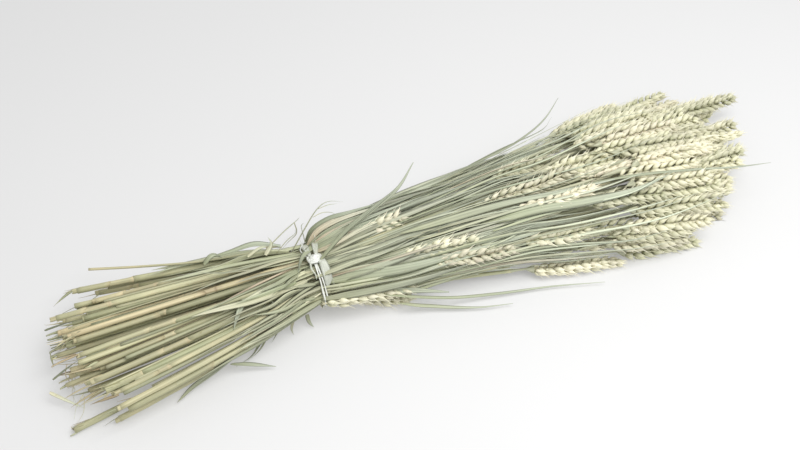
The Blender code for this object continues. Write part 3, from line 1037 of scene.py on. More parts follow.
    def _sheath(
        self, surface: Surface, stalk: Strand, start: float, end: float, tone: float, rng: np.random.Generator
    ) -> None:
        """Adds a leaf sheath: a tube whose radius grows as it goes round, so that its free edge shows.

        Args:
            surface: What to add it to.
            stalk: The stalk's line and radius.
            start: Its lower end.
            end: Its upper end, cut aslant.
            tone: Its tone.
            rng: Source of its variety.
        """
        count = max(6, int((end - start) / self.step))
        x = start + (end - start) * np.arange(count + 1) / count
        line, radius = stalk.at(x)
        spin = rng.uniform(0, TURN) + rng.uniform(-0.8, 0.8) * (x - start) / 0.1
        side, normal = turned_axes(line, spin)
        lap = self.sheath_lap * (1 - np.arange(self.around) / (self.around - 1))
        fit = self.culm_share + 0.05 + 0.03 * np.sin(x * 190 + rng.uniform(0, 6))
        size = radius[:, None] * (fit[:, None] + lap)
        rings = tube_rings(line, side, normal, size, size * rng.uniform(0.90, 1.0), self.around)
        slant = self.sheath_slant * np.cos(TURN * np.arange(self.around) / self.around)
        rings[-1, :, 0] += slant
        rings[-2, :, 0] += slant * 0.5
        shade = rng.uniform(-0.08, 0.08)
        tones = tone + shade + 0.25 * np.exp(-(end - x) / 0.0025)
        share = np.clip((x - start) / 0.3, 0, 1) * 0.6
        surface.add_rings(rings, TURN * float(radius.mean()), tones, share, rng.uniform(0.30, 0.85))


@dataclass
class BareStraw:
    """The thin pale straw that lies apart on the far side."""

    strand: Strand
    finish: bpy.types.Material

    def build(self) -> bpy.types.Object:
        """Makes it: a round tube along the solid's line, thinning a little towards the tie.

        Returns:
            The piece.
        """
        x = np.linspace(self.strand.line[0, 0], self.strand.line[-1, 0], 50)
        line, radius = self.strand.at(x)
        side, normal = turned_axes(line, 0.0)
        share = np.linspace(0, 1, len(x))
        size = radius * (1 - 0.25 * share)
        rings = tube_rings(line, side, normal, size, size * 0.85, 10)
        surface = Surface()
        surface.add_rings(rings, TURN * float(size.mean()), 0.48 - 0.25 * share, share * 0.4)
        return surface.piece("bare_straw_pale", self.finish, Slot.STRAW, "bare_straw")


# ---------------------------------------------------------------------------------------------
# The ears


@dataclass(frozen=True)
class Husk:
    """One husk's place in a spikelet.

    Attributes:
        out: How far it leans outwards, as a share of the ear's spread.
        aside: How far it leans sideways, in radians.
        length: Its length, as a share of the longest.
        width: Its width, as a share of the usual.
        ahead: How far along the ear it starts.
        off: How far from the axis it starts.
        beside: How far to one side it starts.
    """

    out: float
    aside: float
    length: float
    width: float
    ahead: float
    off: float
    beside: float


SPIKELET = (
    Husk(0.95, 0.42, 0.80, 0.92, -0.0004, 0.0009, 0.0010),
    Husk(0.95, -0.42, 0.80, 0.92, -0.0004, 0.0009, -0.0010),
    Husk(1.05, 0.26, 1.00, 1.08, 0.0008, 0.0012, 0.0009),
    Husk(1.05, -0.26, 1.00, 1.08, 0.0008, 0.0012, -0.0009),
    Husk(1.25, 0.0, 0.92, 1.0, 0.0026, 0.0020, 0.0),
)


@dataclass
class Ears:
    """The ears: spikelets left and right of a zigzag axis, each of two glumes and three plump florets.

    The spread is how far husks lean out, in radians; the fan is how much faster than its own lean a
    husk's face turns sideways; and a small share of the ears is paler than the rest.
    """

    stalks: list[Strand]
    finish: bpy.types.Material
    spacing: float = 0.0039
    husk_length: float = 0.0108
    husk_width: float = 0.0029
    husk_depth: float = 0.0026
    husk_sides: int = 6
    spread: float = 0.52
    tip_start: float = 0.0120
    tip_husks: int = 4
    tip_size: float = 0.72
    fan: float = 2.2
    pale_ears: float = 0.08
    seed: int = 23

    def build(self) -> list[bpy.types.Object]:
        """Makes one piece for each ear.

        Returns:
            The pieces.
        """
        rng = np.random.default_rng(self.seed)
        husk = self._husk()
        return [self._ear(stalk, husk, rng) for stalk in self.stalks]

    def _husk(self) -> Surface:
        """Makes the shape of one husk, 1 long: a boat that swells, closes to a spike and curves inwards.

        Along it the half width follows the swell at t. The section is an ellipse whose outer side is
        the deeper. The whole bends in by 0.13 t^2, and past t = 0.88 its spike turns out by 0.34 t.

        Returns:
            The shape. Its tone and paleness are what it adds to each copy's: the tone is greener at the base, and
            the paleness is lower there as painted shade deep among the other husks.
        """
        t = np.array([0.0, 0.10, 0.28, 0.48, 0.66, 0.80, 0.92, 1.42])
        swell = np.array([0.18, 0.62, 0.96, 1.0, 0.74, 0.38, 0.15, 0.02])
        line = np.column_stack([t, np.zeros_like(t), -0.13 * t**2 + 0.34 * np.maximum(t - 0.88, 0)])
        turn = TURN * np.arange(self.husk_sides) / self.husk_sides
        width = self.husk_width / self.husk_length * swell
        depth = self.husk_depth / self.husk_length * swell
        out = np.where(np.sin(turn) > 0, 1.15, 0.55)
        across = width[:, None] * np.cos(turn)
        rings = line[:, None] + np.stack([0 * across, across, depth[:, None] * np.sin(turn) * out], axis=-1)
        girth = 6 * self.husk_width / self.husk_length
        surface = Surface()
        # Paleness 0.74 t - 0.44 is painted shade: the base, deep among the neighbouring husks, is darker than the
        # tip.
        surface.add_rings(rings, girth, -0.24 * (1 - t), np.clip(t, 0, 1), 0.74 * t - 0.44)
        return surface

    def _ear(self, stalk: Strand, husk: Surface, rng: np.random.Generator) -> bpy.types.Object:
        """Makes one ear.

        The axis runs through the solid's ear. Spikelets stand at even steps on it, left and right by
        turns. Each husk points along the axis, leaning out by the spread and sideways by its place in
        the spikelet, and its size follows the ear's taper.

        Args:
            stalk: The stalk's line and radius.
            husk: The husk's shape.
            rng: Source of variety.

        Returns:
            The piece.
        """
        ear = stalk.line[-EAR_RINGS:]
        knots = travelled(ear)
        length = knots[-1]
        count = int(round((length - self.tip_start) / self.spacing))
        t = (np.arange(count) + 0.5) / count
        place = through(ear, knots, t * (length - 0.0110))
        tangent = unit(np.gradient(through(ear, knots, np.linspace(0, length, count)), axis=0))
        roll = rng.normal(0.45, 0.60) + np.linspace(0, rng.uniform(-0.5, 0.5), count)
        side, normal = turned_axes(place, roll)
        hand = np.where(np.arange(count) % 2 == 0, 1.0, -1.0)[:, None]
        taper = np.interp(t, [0, 0.06, 0.2, 0.6, 0.88, 1.0], [0.55, 0.80, 1.0, 1.0, 0.84, 0.66])
        tone = np.clip(rng.normal(0.50, 0.11), 0.26, 0.66) + stalk.dry
        if rng.uniform() < self.pale_ears:
            tone += 0.14
        pale = rng.uniform(0.30, 0.85)
        surface = Surface()
        self._rachis(surface, place, side, normal, hand, tone)
        outward, small = hand * side, taper[:, None]
        for part in SPIKELET:
            lean = self.spread * part.out * (0.90 + 0.20 * t) + rng.normal(0, 0.10, count)
            tilt = part.aside + rng.normal(0, 0.10, count)
            way = unit(
                tangent * np.cos(lean)[:, None] + outward * np.sin(lean)[:, None] + normal * np.sin(tilt)[:, None]
            )
            face = outward * np.cos(self.fan * tilt)[:, None] + normal * np.sin(self.fan * tilt)[:, None]
            size = self.husk_length * taper * part.length * rng.uniform(0.84, 1.12, count)
            turns = self._turns(way, face, size, part.width)
            start = place + tangent * part.ahead + outward * part.off * small + normal * part.beside * small
            tones, pales = tone + rng.normal(0, 0.06, count), pale + rng.normal(0, 0.13, count)
            surface.add_copies(husk, turns, start, tones, pales)
        turn = TURN * np.arange(self.tip_husks) / self.tip_husks + 0.4
        face = np.cos(turn)[:, None] * side[-1] + np.sin(turn)[:, None] * normal[-1]
        way = unit(tangent[-1] + 0.16 * face)
        turns = self._turns(way, face, np.full(self.tip_husks, self.husk_length * self.tip_size), 1.0)
        end = through(ear, knots, np.array([length - self.tip_start]))[0]
        tones, pales = np.full(self.tip_husks, tone), np.full(self.tip_husks, pale)
        surface.add_copies(husk, turns, end + 0.0005 * unit(turns[:, :, 2]), tones, pales)
        stands_for = [stalk.name] if stalk.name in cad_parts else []
        return surface.piece(stalk.name.replace("stalk", "ear"), self.finish, Slot.STALK, *stands_for)

    @staticmethod
    def _rachis(surface: Surface, place: Array, side: Array, normal: Array, hand: Array, tone: float) -> None:
        """Adds the ear's axis: a thin tube that steps aside from each spikelet.

        Args:
            surface: What to add it to.
            place: Where the spikelets stand.
            side: Side vector at each.
            normal: Normal at each.
            hand: 1 where a spikelet stands on the side vector's side, and -1 on the other.
            tone: Its tone.
        """
        line = place + hand * side * 0.0004
        size = np.full(len(line), 0.0009)
        surface.add_rings(tube_rings(line, side, normal, size, size, 6), 0.005, tone, 0.1)

    @staticmethod
    def _turns(way: Array, face: Array, size: Array, width: float) -> Array:
        """Works out how husks are turned and scaled.

        Args:
            way: Where each points, a unit vector.
            face: Where its outer side faces, before that is made square to the way.
            size: Its length.
            width: Its width, as a share of the usual.

        Returns:
            A 3 by 3 matrix for each.
        """
        face = unit(face - (face * way).sum(axis=1, keepdims=True) * way)
        across = np.cross(face, way)
        return np.stack([way * size[:, None], across * (size * width)[:, None], face * size[:, None]], axis=2)


@dataclass(frozen=True)
class RestingEar:
    """An ear that rests on the outside of the bundle, short of the others.

    Attributes:
        places: How far past the tie its base and its tip are, in millimetres.
        angles: Their angles round the bundle.
        sunk: How far below the skin its base and its tip are, in millimetres.
        dry: How much drier it is than the rest.
    """

    places: tuple[float, float]
    angles: tuple[float, float]
    sunk: tuple[float, float]
    dry: float = 0.0

    def strand(self, name: str, skin: Skin, tie: float) -> Strand:
        """Works out the ear's line: place, angle and depth run evenly from base to tip, over the skin.

        Args:
            name: The ear's name.
            skin: What it rests on.
            tie: Where the tie is.

        Returns:
            The ear, as a strand with only an ear's rings.
        """
        share = np.linspace(0, 1, EAR_RINGS)
        x = tie + np.interp(share, [0, 1], self.places) / 1000
        angle = np.interp(share, [0, 1], self.angles)
        line = skin.at(x, angle, -np.interp(share, [0, 1], self.sunk) / 1000)
        return Strand(name, line, np.full(EAR_RINGS, EAR_HALF_WIDTH), self.dry)


RESTING_EARS = (
    RestingEar((150, 246), (1.74, 1.58), (3.0, 1.0)),
    RestingEar((60, 139), (2.30, 2.32), (5.0, 1.0), 0.08),
    RestingEar((87, 168), (2.53, 2.90), (1.0, 1.0), 0.16),
    RestingEar((166, 236), (2.90, 2.76), (4.0, 4.0), 0.18),
    RestingEar((174, 250), (2.03, 1.93), (3.0, 3.0), 0.20),
    RestingEar((26, 92), (1.30, 1.42), (0.0, -3.0), 0.22),
    RestingEar((-5, 80), (3.06, 3.42), (-1.5, -1.5), 0.05),
)


# ---------------------------------------------------------------------------------------------
# The leaves


@dataclass(frozen=True)
class BladeShape:
    """How a leaf blade is cut: its widest half width, how narrow its root is, and where it starts to taper."""

    half_width: float
    root_share: float = 0.55
    full_at: float = 0.16
    taper_from: float = 0.45

    def halves(self, t: Array) -> Array:
        """Works out half widths, widening from the root, then easing down to a fine point.

        Args:
            t: Shares of the way from root to tip.

        Returns:
            The half width at each.
        """
        root = np.clip(t / self.full_at, 0, 1)
        root = self.root_share + (1 - self.root_share) * root * root * (3 - 2 * root)
        fall = np.clip((t - self.taper_from) / (1 - self.taper_from), 0, 1)
        return self.half_width * root * np.clip(1 - fall**1.7, 0.03, 1)


@dataclass(frozen=True)
class Layer:
    """A layer of blades on the bundle.

    Each pair is a range that a blade's own value is drawn from: where its root is past the tie, how far
    past the tie its tip is, its half width, and how high it arches. Angles run round the bundle. The lift
    is how far outside the skin a blade lies, the wander how far it strays round the bundle, and the lean
    how far it is turned about its own line. A blade that isn't over the ears stops short of them.
    """

    name: str
    count: int
    root: tuple[float, float]
    tip: tuple[float, float]
    half_width: tuple[float, float]
    angles: tuple[float, float]
    lift: float
    arch: tuple[float, float] = (0.0, 0.0005)
    wander: float = 0.08
    tone: float = 0.32
    lean: float = 0.30
    pale: float = 0.5
    over_ears: bool = False


COVER_LAYERS = (
    Layer("inner_leaves", 80, (-0.02, 0.06), (0.20, 0.33), (0.0008, 0.0020), (-0.6, 3.9), -0.0065, tone=0.25),
    Layer("middle_leaves", 90, (-0.02, 0.09), (0.16, 0.29), (0.0007, 0.0020), (-0.5, 3.8), -0.0035),
    Layer("outer_leaves", 80, (-0.01, 0.12), (0.13, 0.26), (0.0006, 0.0020), (-0.4, 3.7), -0.0012, wander=0.12),
    Layer("fine_leaves", 46, (0.00, 0.15), (0.10, 0.25), (0.0005, 0.0012), (-0.2, 3.5), 0.0004, wander=0.18),
    Layer(
        "reaching_leaves", 20, (0.05, 0.15), (0.27, 0.37), (0.0007, 0.0015), (0.3, 3.3), 0.0015,
        arch=(0.0, 0.002), wander=0.14, tone=0.26, over_ears=True,
    ),
    Layer(
        "broad_top_leaf", 1, (0.140, 0.145), (0.318, 0.322), (0.0046, 0.0048), (2.04, 2.08), -0.0020,
        arch=(0.006, 0.007), wander=0.05, tone=0.24, lean=0.1, over_ears=True,
    ),
    # Both shoulder layers are painted darker than the others by their low paleness: painted shade at the tie's
    # shoulder, darkest on the far side away from the softbox.
    Layer(
        "shoulder_leaves_far", 36, (-0.010, 0.004), (0.09, 0.22), (0.0014, 0.0038), (0.1, 1.5), -0.003,
        arch=(0.003, 0.012), wander=0.10, lean=0.6, pale=0.12,
    ),
    Layer(
        "shoulder_leaves_top", 26, (-0.010, 0.004), (0.09, 0.22), (0.0014, 0.0040), (1.4, 2.5), -0.002,
        arch=(0.001, 0.006), wander=0.12, lean=0.6, pale=0.20,
    ),
    Layer(
        "broad_near_leaves", 9, (-0.004, 0.012), (0.09, 0.15), (0.0034, 0.0052), (2.0, 3.0), 0.0005,
        arch=(0.003, 0.007), wander=0.16, tone=0.34, lean=0.45,
    ),
    Layer(
        "leaves_hanging_back", 34, (-0.015, 0.006), (-0.13, -0.05), (0.0014, 0.0040), (0.1, 3.5), -0.0008,
        arch=(0.0, 0.003), wander=0.16, tone=0.30, lean=0.5,
    ),
    Layer(
        "crossing_leaves", 6, (-0.020, 0.002), (-0.08, -0.045), (0.0022, 0.0040), (1.7, 2.9), 0.0016,
        arch=(0.0, 0.003), wander=0.30, tone=0.22, lean=0.8,
    ),
)


@dataclass
class CoverLeaves:
    """Blades on the outside of the bundle, layer by layer, following the stalks as they fan out."""

    skin: Skin
    ears: EarMap
    finish: bpy.types.Material
    tie: float
    stop_share: float = 0.85
    samples: int = 30
    stations: int = 5
    brown_share: float = 0.05
    brown_tone: float = 0.82
    seed: int = 5

    def build(self) -> list[bpy.types.Object]:
        """Makes one piece for each layer.

        Returns:
            The pieces.
        """
        rng = np.random.default_rng(self.seed)
        pieces = []
        for layer in COVER_LAYERS:
            surface = Surface()
            low, high = layer.angles
            spread = (high - low) / layer.count
            for angle in low + spread * (np.arange(layer.count) + rng.uniform(0, 1, layer.count)):
                self._blade(surface, layer, angle, rng)
            pieces.append(surface.piece(layer.name, self.finish, Slot.LEAF))
        return pieces

    def _blade(self, surface: Surface, layer: Layer, angle: float, rng: np.random.Generator) -> None:
        """Adds a blade on the skin: a smooth curve through a few places on it, so that it stays stiff.

        Args:
            surface: What to add it to.
            layer: The layer it belongs to.
            angle: Its root's angle round the bundle.
            rng: Source of its path, curl and colour.
        """
        stations = np.linspace(0, 1, self.stations)
        root, tip = rng.uniform(*layer.root), rng.uniform(*layer.tip)
        x = self.tie + root + (tip - root) * stations
        turn = angle + rng.normal(0, layer.wander) * stations + rng.normal(0, 0.010, self.stations)
        rise = layer.lift + rng.normal(0, 0.0004, self.stations)
        rise += rng.uniform(*layer.arch) * np.sin(np.pi * stations**0.6)
        rise[-1] += rng.exponential(0.0012)
        t = np.linspace(0, 1, self.samples)
        line = through(self.skin.at(x, turn, rise), stations, t)
        touch = 1.0 if layer.over_ears else self.ears.first_touch(line)
        if touch < 1 and rng.uniform() < self.stop_share:
            keep = np.clip(touch + rng.uniform(-0.06, 0.05), 0.2, 1)
            line = through(line, t, t * keep)
        outward = through(self.skin.outward(x, turn), stations, t)
        roll = rng.normal(0, layer.lean) + rng.normal(0, 0.5) * t**2
        side, normal = turned_axes(line, roll, outward)
        fold = rng.choice([0.08, 0.45, 0.95], p=[0.40, 0.35, 0.25]) + 0.12 * np.sin(t * 9 + rng.uniform(0, 6))
        shape = BladeShape(rng.uniform(*layer.half_width))
        tone = np.clip(rng.normal(layer.tone, 0.11), 0.05, 0.75)
        if rng.uniform() < self.brown_share:
            tone = self.brown_tone
        pale = np.clip(rng.normal(layer.pale, 0.18), 0.0, 1.0)
        rings = ribbon_rings(line, side, normal, shape.halves(t), fold, LEAF_THICK)
        share = t if tip > root else 0.3 * t
        surface.add_rings(rings, 4 * shape.half_width, tone + 0.10 * t**2, share, pale)


@dataclass
class FillerStems:
    """Thin stems and rolled sheaths in the gaps between neighbouring stalks, and the inner stalks' straws."""

    stalks: list[Strand]
    inner: list[Strand]
    finish: bpy.types.Material
    tie: float
    count: int = 90
    near: float = 0.016
    samples: int = 34
    around: int = 8
    thickest: float = 0.0014
    shortest: int = 8
    seed: int = 41

    def build(self) -> list[bpy.types.Object]:
        """Makes the stems on the cut side and those on the ears' side.

        Returns:
            The pieces.
        """
        rng = np.random.default_rng(self.seed)
        pieces = []
        for name, probe, low, high in (
            ("filler_straws", -0.15, (-0.205, -0.150), (-0.02, 0.03)),
            ("filler_stems", 0.14, (-0.02, 0.04), (0.16, 0.28)),
        ):
            surface = Surface()
            pairs = self._pairs(self.tie + probe)
            for first, second in pairs[rng.permutation(len(pairs))[: self.count]]:
                self._stem(surface, first, second, rng.uniform(*low), rng.uniform(*high), rng)
            pieces.append(surface.piece(name, self.finish, Slot.STALK))
        surface = Surface()
        for stalk in self.inner:
            self._inner_straw(surface, stalk, rng)
        pieces.append(surface.piece("inner_straws", self.finish, Slot.STALK))
        return pieces

    def _inner_straw(self, surface: Surface, stalk: Strand, rng: np.random.Generator) -> None:
        """Adds the straw of a stalk between others, a tube from the tie into its ear.

        Args:
            surface: What to add it to.
            stalk: The stalk's line and radius.
            rng: Source of its colour.
        """
        end = stalk.line[-EAR_RINGS, 0] + EAR_TUCK
        line, radius = stalk.at(np.linspace(stalk.line[0, 0], end, self.samples))
        side, normal = turned_axes(line, 0.0)
        size = np.minimum(radius, self.thickest)
        rings = tube_rings(line, side, normal, size, size, self.around)
        surface.add_rings(rings, 0.008, rng.uniform(0.10, 0.35), 0.6, rng.uniform(0.3, 0.8))

    def _pairs(self, x: float) -> NDArray[np.int64]:
        """Finds the pairs of stalks whose middles are near each other at one place.

        Args:
            x: The place.

        Returns:
            The two stalks' numbers, a pair a row.
        """
        middles = np.array([stalk.at(np.array([x]))[0][0] for stalk in self.stalks])
        apart = np.linalg.norm(middles[:, None] - middles[None], axis=2)
        return np.argwhere(np.triu(apart < self.near, 1))

    def _stem(
        self, surface: Surface, first: int, second: int, low: float, high: float, rng: np.random.Generator
    ) -> None:
        """Adds a stem on the line that shares out the space between two stalks.

        Args:
            surface: What to add it to.
            first: One stalk's number.
            second: The other's.
            low: Its lower end, past the tie.
            high: Its upper end, past the tie.
            rng: Source of its place, size and colour.
        """
        one, other = self.stalks[first], self.stalks[second]
        x = self.tie + np.linspace(low, high, self.samples)
        last = -EAR_RINGS - 1
        x = x[(x > max(one.line[0, 0], other.line[0, 0])) & (x < min(one.line[last, 0], other.line[last, 0]))]
        if len(x) < self.shortest:
            return
        share = rng.uniform(0.35, 0.65) + rng.normal(0, 0.10) * np.linspace(-1, 1, len(x))
        line = one.at(x)[0] * share[:, None] + other.at(x)[0] * (1 - share[:, None])
        line[:, 2] += rng.uniform(0.0, 0.0025)
        side, normal = turned_axes(line, rng.uniform(-1.2, 1.2))
        wide = rng.uniform(0.0009, 0.0020) * (1 - 0.35 * np.linspace(0, 1, len(x)))
        rings = tube_rings(line, side, normal, wide, wide * rng.uniform(0.45, 0.95), self.around)
        tone = rng.choice([0.12, 0.30, 0.60], p=[0.45, 0.40, 0.15])
        surface.add_rings(rings, TURN * float(wide.mean()), tone, 0.3, rng.uniform(0.1, 0.8))


@dataclass
class LooseLeaves:
    """The blades that have solids of their own: they stand off the bundle or lie in front of it."""

    strands: list[Strand]
    finish: bpy.types.Material
    leans: dict[str, float]
    samples: int = 60
    root_share: float = 0.4
    full_at: float = 0.09
    seed: int = 31

    def build(self) -> list[bpy.types.Object]:
        """Makes one piece for each, along its solid's line and to its width.

        Returns:
            The pieces.
        """
        rng = np.random.default_rng(self.seed)
        return [self._leaf(strand, rng) for strand in self.strands]

    def _leaf(self, strand: Strand, rng: np.random.Generator) -> bpy.types.Object:
        """Makes one blade: a ribbon on the smooth line, folded along its rib, turning slowly as it goes.

        Args:
            strand: The blade's line and half width.
            rng: Source of its folds and colour.

        Returns:
            The piece.
        """
        knots = travelled(strand.line)
        s = np.linspace(0, knots[-1], self.samples)
        t = s / knots[-1]
        line = through(strand.line, knots, s)
        root = np.interp(t, [0, self.full_at], [self.root_share, 1.0])
        half = np.maximum(through(strand.radius, knots, s) * root, 0.0001)
        side, normal = turned_axes(line, self.leans.get(strand.name, 0.3) * (1 - 0.5 * t))
        fold = 0.25 + 0.15 * np.sin(t * 7 + rng.uniform(0, 6))
        surface = Surface()
        rings = ribbon_rings(line, side, normal, half, fold, LEAF_THICK)
        tone, pale = rng.uniform(0.05, 0.25) + 0.1 * t, rng.uniform(0.10, 0.45)
        surface.add_rings(rings, 4 * float(half.max()), tone, t, pale)
        return surface.piece(f"{strand.name}_blade", self.finish, Slot.LEAF, strand.name)


@dataclass(frozen=True)
class Scrap:
    """A single blade, thread or chip with a place of its own.

    Attributes:
        half_width: Its widest half width, in millimetres.
        lean: How far its flat is turned from level at the root, in radians.
        twist: How far it turns on the way to the tip.
        tone: Its dryness.
        pale: Its paleness.
        route: Places in millimetres past the tie, aside and up.
    """

    half_width: float
    lean: float
    twist: float
    tone: float
    pale: float
    route: tuple[tuple[float, float, float], ...]


CURLS = (
    Scrap(3.2, 0.9, -0.9, 0.22, 0.45, ((-42, -8, 46), (-60, -14, 45), (-71, -24, 42), (-79, -33, 34))),
    Scrap(3.6, 0.8, 0.6, 0.25, 0.60, ((-15, -11, 50), (-28, -17, 48), (-44, -22, 43), (-59, -27, 33))),
    Scrap(3.0, 0.3, 1.5, 0.12, 0.35, ((3, 8, 54), (-7, 0, 55), (-13, -7, 52), (-19, -15, 45))),
    Scrap(2.6, 1.0, 1.2, 0.08, 0.30, ((-19, -21, 42), (-32, -23, 42), (-42, -24, 38), (-54, -27, 30))),
    Scrap(2.4, 0.2, 2.4, 0.05, 0.25, ((-22, -18, 45), (-36, -18, 46), (-43, -23, 43), (-38, -28, 36))),
    Scrap(2.2, -0.3, 1.8, 0.15, 0.45, ((-82, 34, 43), (-76, 35, 49), (-71, 35, 49), (-66, 33, 44))),
    Scrap(2.4, 0.8, 0.3, 0.30, 0.55, ((-15, -23, 10), (-15, -28, 6), (-13, -33, 3))),
    Scrap(1.3, 0.2, 0.9, 0.72, 0.45, ((-28, -25, 10), (-31, -29, 6), (-31, -33, 2))),
    Scrap(1.5, 0.9, 0.6, 0.20, 0.40, ((-39, -26, 9), (-45, -30, 5), (-50, -33, 2))),
    Scrap(1.6, 0.5, 0.9, 0.10, 0.30, ((-48, -30, 12), (-60, -36, 9), (-70, -42, 5), (-84, -45, 3))),
    Scrap(1.2, 0.5, 0.9, 0.30, 0.60, ((-52, -31, 10), (-62, -40, 7), (-74, -44, 4))),
    Scrap(2.0, 0.2, 0.6, 0.62, 0.60, ((-34, 18, 50), (-28, 21, 57), (-29, 22, 66))),
    Scrap(1.8, 0.9, 0.9, 0.75, 0.55, ((-32, 21, 55), (-24, 22, 52), (-18, 22, 47))),
    Scrap(1.4, 0.4, 0.4, 0.55, 0.75, ((-48, 22, 50), (-36, 23, 55), (-24, 22, 51))),
)
WISPS = (
    Scrap(0.5, 0.3, 0.5, 0.52, 0.45, ((-30, 21, 55), (-15, 22, 67), (-4, 22, 75), (-1, 22, 78))),
    Scrap(0.5, 0.3, 0.5, 0.60, 0.35, ((-6, 22, 74), (-5, 22, 60), (-13, 22, 52), (-21, 22, 44))),
    Scrap(0.6, 0.3, 0.8, 0.45, 0.50, ((-12, 20, 40), (2, 22, 62), (14, 22, 81), (24, 22, 86), (37, 22, 80))),
    Scrap(0.35, 0.3, 0.5, 0.45, 0.55, ((15, 22, 81), (24, 22, 82), (32, 22, 80))),
    Scrap(0.35, 0.3, 0.5, 0.50, 0.55, ((10, 22, 73), (18, 22, 75), (26, 22, 72), (31, 22, 66))),
    Scrap(0.55, 0.3, 0.5, 0.40, 0.30, ((1, 20, 46), (0, 20, 57), (-1, 20, 69), (2, 20, 72))),
    Scrap(0.4, 0.3, 0.5, 0.60, 0.40, ((-24, 20, 46), (-14, 21, 56), (-7, 21, 61), (-6, 21, 66))),
)
SHOULDER = (
    Scrap(0.7, 0.3, 0.4, 0.10, 0.10, ((61, 20, 66), (88, 23, 66), (117, 27, 66), (171, 33, 67), (208, 38, 66))),
    Scrap(0.5, 0.3, 0.4, 0.10, 0.05, ((150, 31, 66), (190, 40, 66), (233, 47, 66), (251, 59, 66))),
    Scrap(2.4, 0.7, -0.5, 0.05, 0.25, ((2, 22, 46), (9, 23, 58), (24, 22, 66), (43, 20, 68), (75, 22, 66))),
    Scrap(2.8, 0.5, -0.4, 0.80, 0.55, ((2, 16, 48), (12, 19, 58), (28, 19, 64), (46, 18, 66), (72, 20, 64))),
    Scrap(2.6, 0.9, -0.8, 0.12, 0.30, ((2, 19, 47), (10, 21, 56), (26, 21, 63), (45, 20, 65), (90, 26, 64))),
    Scrap(3.0, 0.5, 0.4, 0.18, 0.40, ((2, 13, 49), (14, 13, 58), (30, 15, 62), (51, 16, 64), (98, 20, 63))),
    Scrap(1.6, 0.3, 0.6, 0.86, 0.60, ((3, 12, 50), (15, 11, 59), (32, 13, 62), (50, 15, 63), (66, 17, 62))),
    Scrap(3.2, 0.6, -0.3, 0.25, 0.50, ((2, 10, 50), (16, 9, 57), (34, 12, 60), (55, 14, 61), (105, 19, 61))),
    Scrap(2.8, 0.2, 0.5, 0.10, 0.35, ((3, 8, 50), (18, 6, 56), (39, 9, 59), (63, 11, 60), (110, 16, 61))),
    Scrap(2.2, 0.8, -0.6, 0.72, 0.65, ((4, 5, 50), (20, 3, 55), (42, 6, 58), (64, 8, 59), (84, 10, 59))),
    Scrap(
        2.5, 0.9, 0.1, 0.12, 0.30,
        ((5, -7, 54), (16, -3, 61), (32, 3, 68), (48, 8, 72), (66, 12, 78), (82, 14, 86)),
    ),
)
BUTT_SCRAPS = (
    Scrap(1.6, 0.4, 0.6, 0.62, 1.30, ((-226, -18, 12), (-215, -29, 10), (-204, -39, 6))),
    Scrap(0.5, 0.2, 0.9, 0.82, 0.60, ((-208, -1, 17), (-211, -10, 15), (-208, -20, 10), (-212, -30, 4))),
    Scrap(0.4, 0.2, 0.9, 0.84, 0.75, ((-206, -6, 15), (-205, -14, 13), (-210, -22, 8), (-209, -34, 3))),
    Scrap(0.6, 0.2, 0.9, 0.70, 0.85, ((-204, -10, 16), (-208, -16, 12), (-206, -26, 8))),
    Scrap(0.4, 0.2, 0.9, 0.66, 0.90, ((-202, -28, 10), (-210, -36, 7), (-214, -44, 4))),
    Scrap(0.4, 0.2, 0.9, 0.72, 0.80, ((-202, -30, 10), (-206, -42, 6), (-215, -50, 3))),
    Scrap(0.9, 0.4, 0.4, 0.10, 0.05, ((-217, 31, 27), (-206, 30, 29), (-192, 30, 29))),
    Scrap(0.9, 0.4, 0.4, 0.15, 0.10, ((-217, 24, 23), (-206, 21, 25), (-192, 18, 25))),
    Scrap(0.9, 0.4, 0.4, 0.10, 0.05, ((-221, -11, 17), (-211, -8, 20), (-198, -3, 21))),
    Scrap(1.0, 0.9, 0.3, 0.30, 0.70, ((-220, -57, 3), (-204, -54, 5), (-180, -49, 7))),
)


@dataclass
class Scraps:
    """Scraps of one kind, joined in one piece."""

    name: str
    scraps: tuple[Scrap, ...]
    finish: bpy.types.Material
    tie: Array
    samples: int = 28

    def build(self) -> bpy.types.Object:
        """Makes them: thin ribbons on smooth lines, blunt at the root and fine at the tip.

        Returns:
            The piece.
        """
        surface = Surface()
        t = np.linspace(0, 1, self.samples)
        for scrap in self.scraps:
            knots = np.array(scrap.route) / 1000 + np.array([self.tie[0], self.tie[1], 0.0])
            line = through(knots, np.linspace(0, 1, len(knots)), t)
            side, normal = turned_axes(line, scrap.lean + scrap.twist * t, np.array([0.0, -0.5, 1.0]))
            half = BladeShape(scrap.half_width / 1000, full_at=0.1, root_share=0.7, taper_from=0.35).halves(t)
            rings = ribbon_rings(line, side, normal, half, 0.35, LEAF_THICK)
            surface.add_rings(rings, scrap.half_width / 250, scrap.tone, t, scrap.pale)
        return surface.piece(self.name, self.finish, Slot.LEAF)


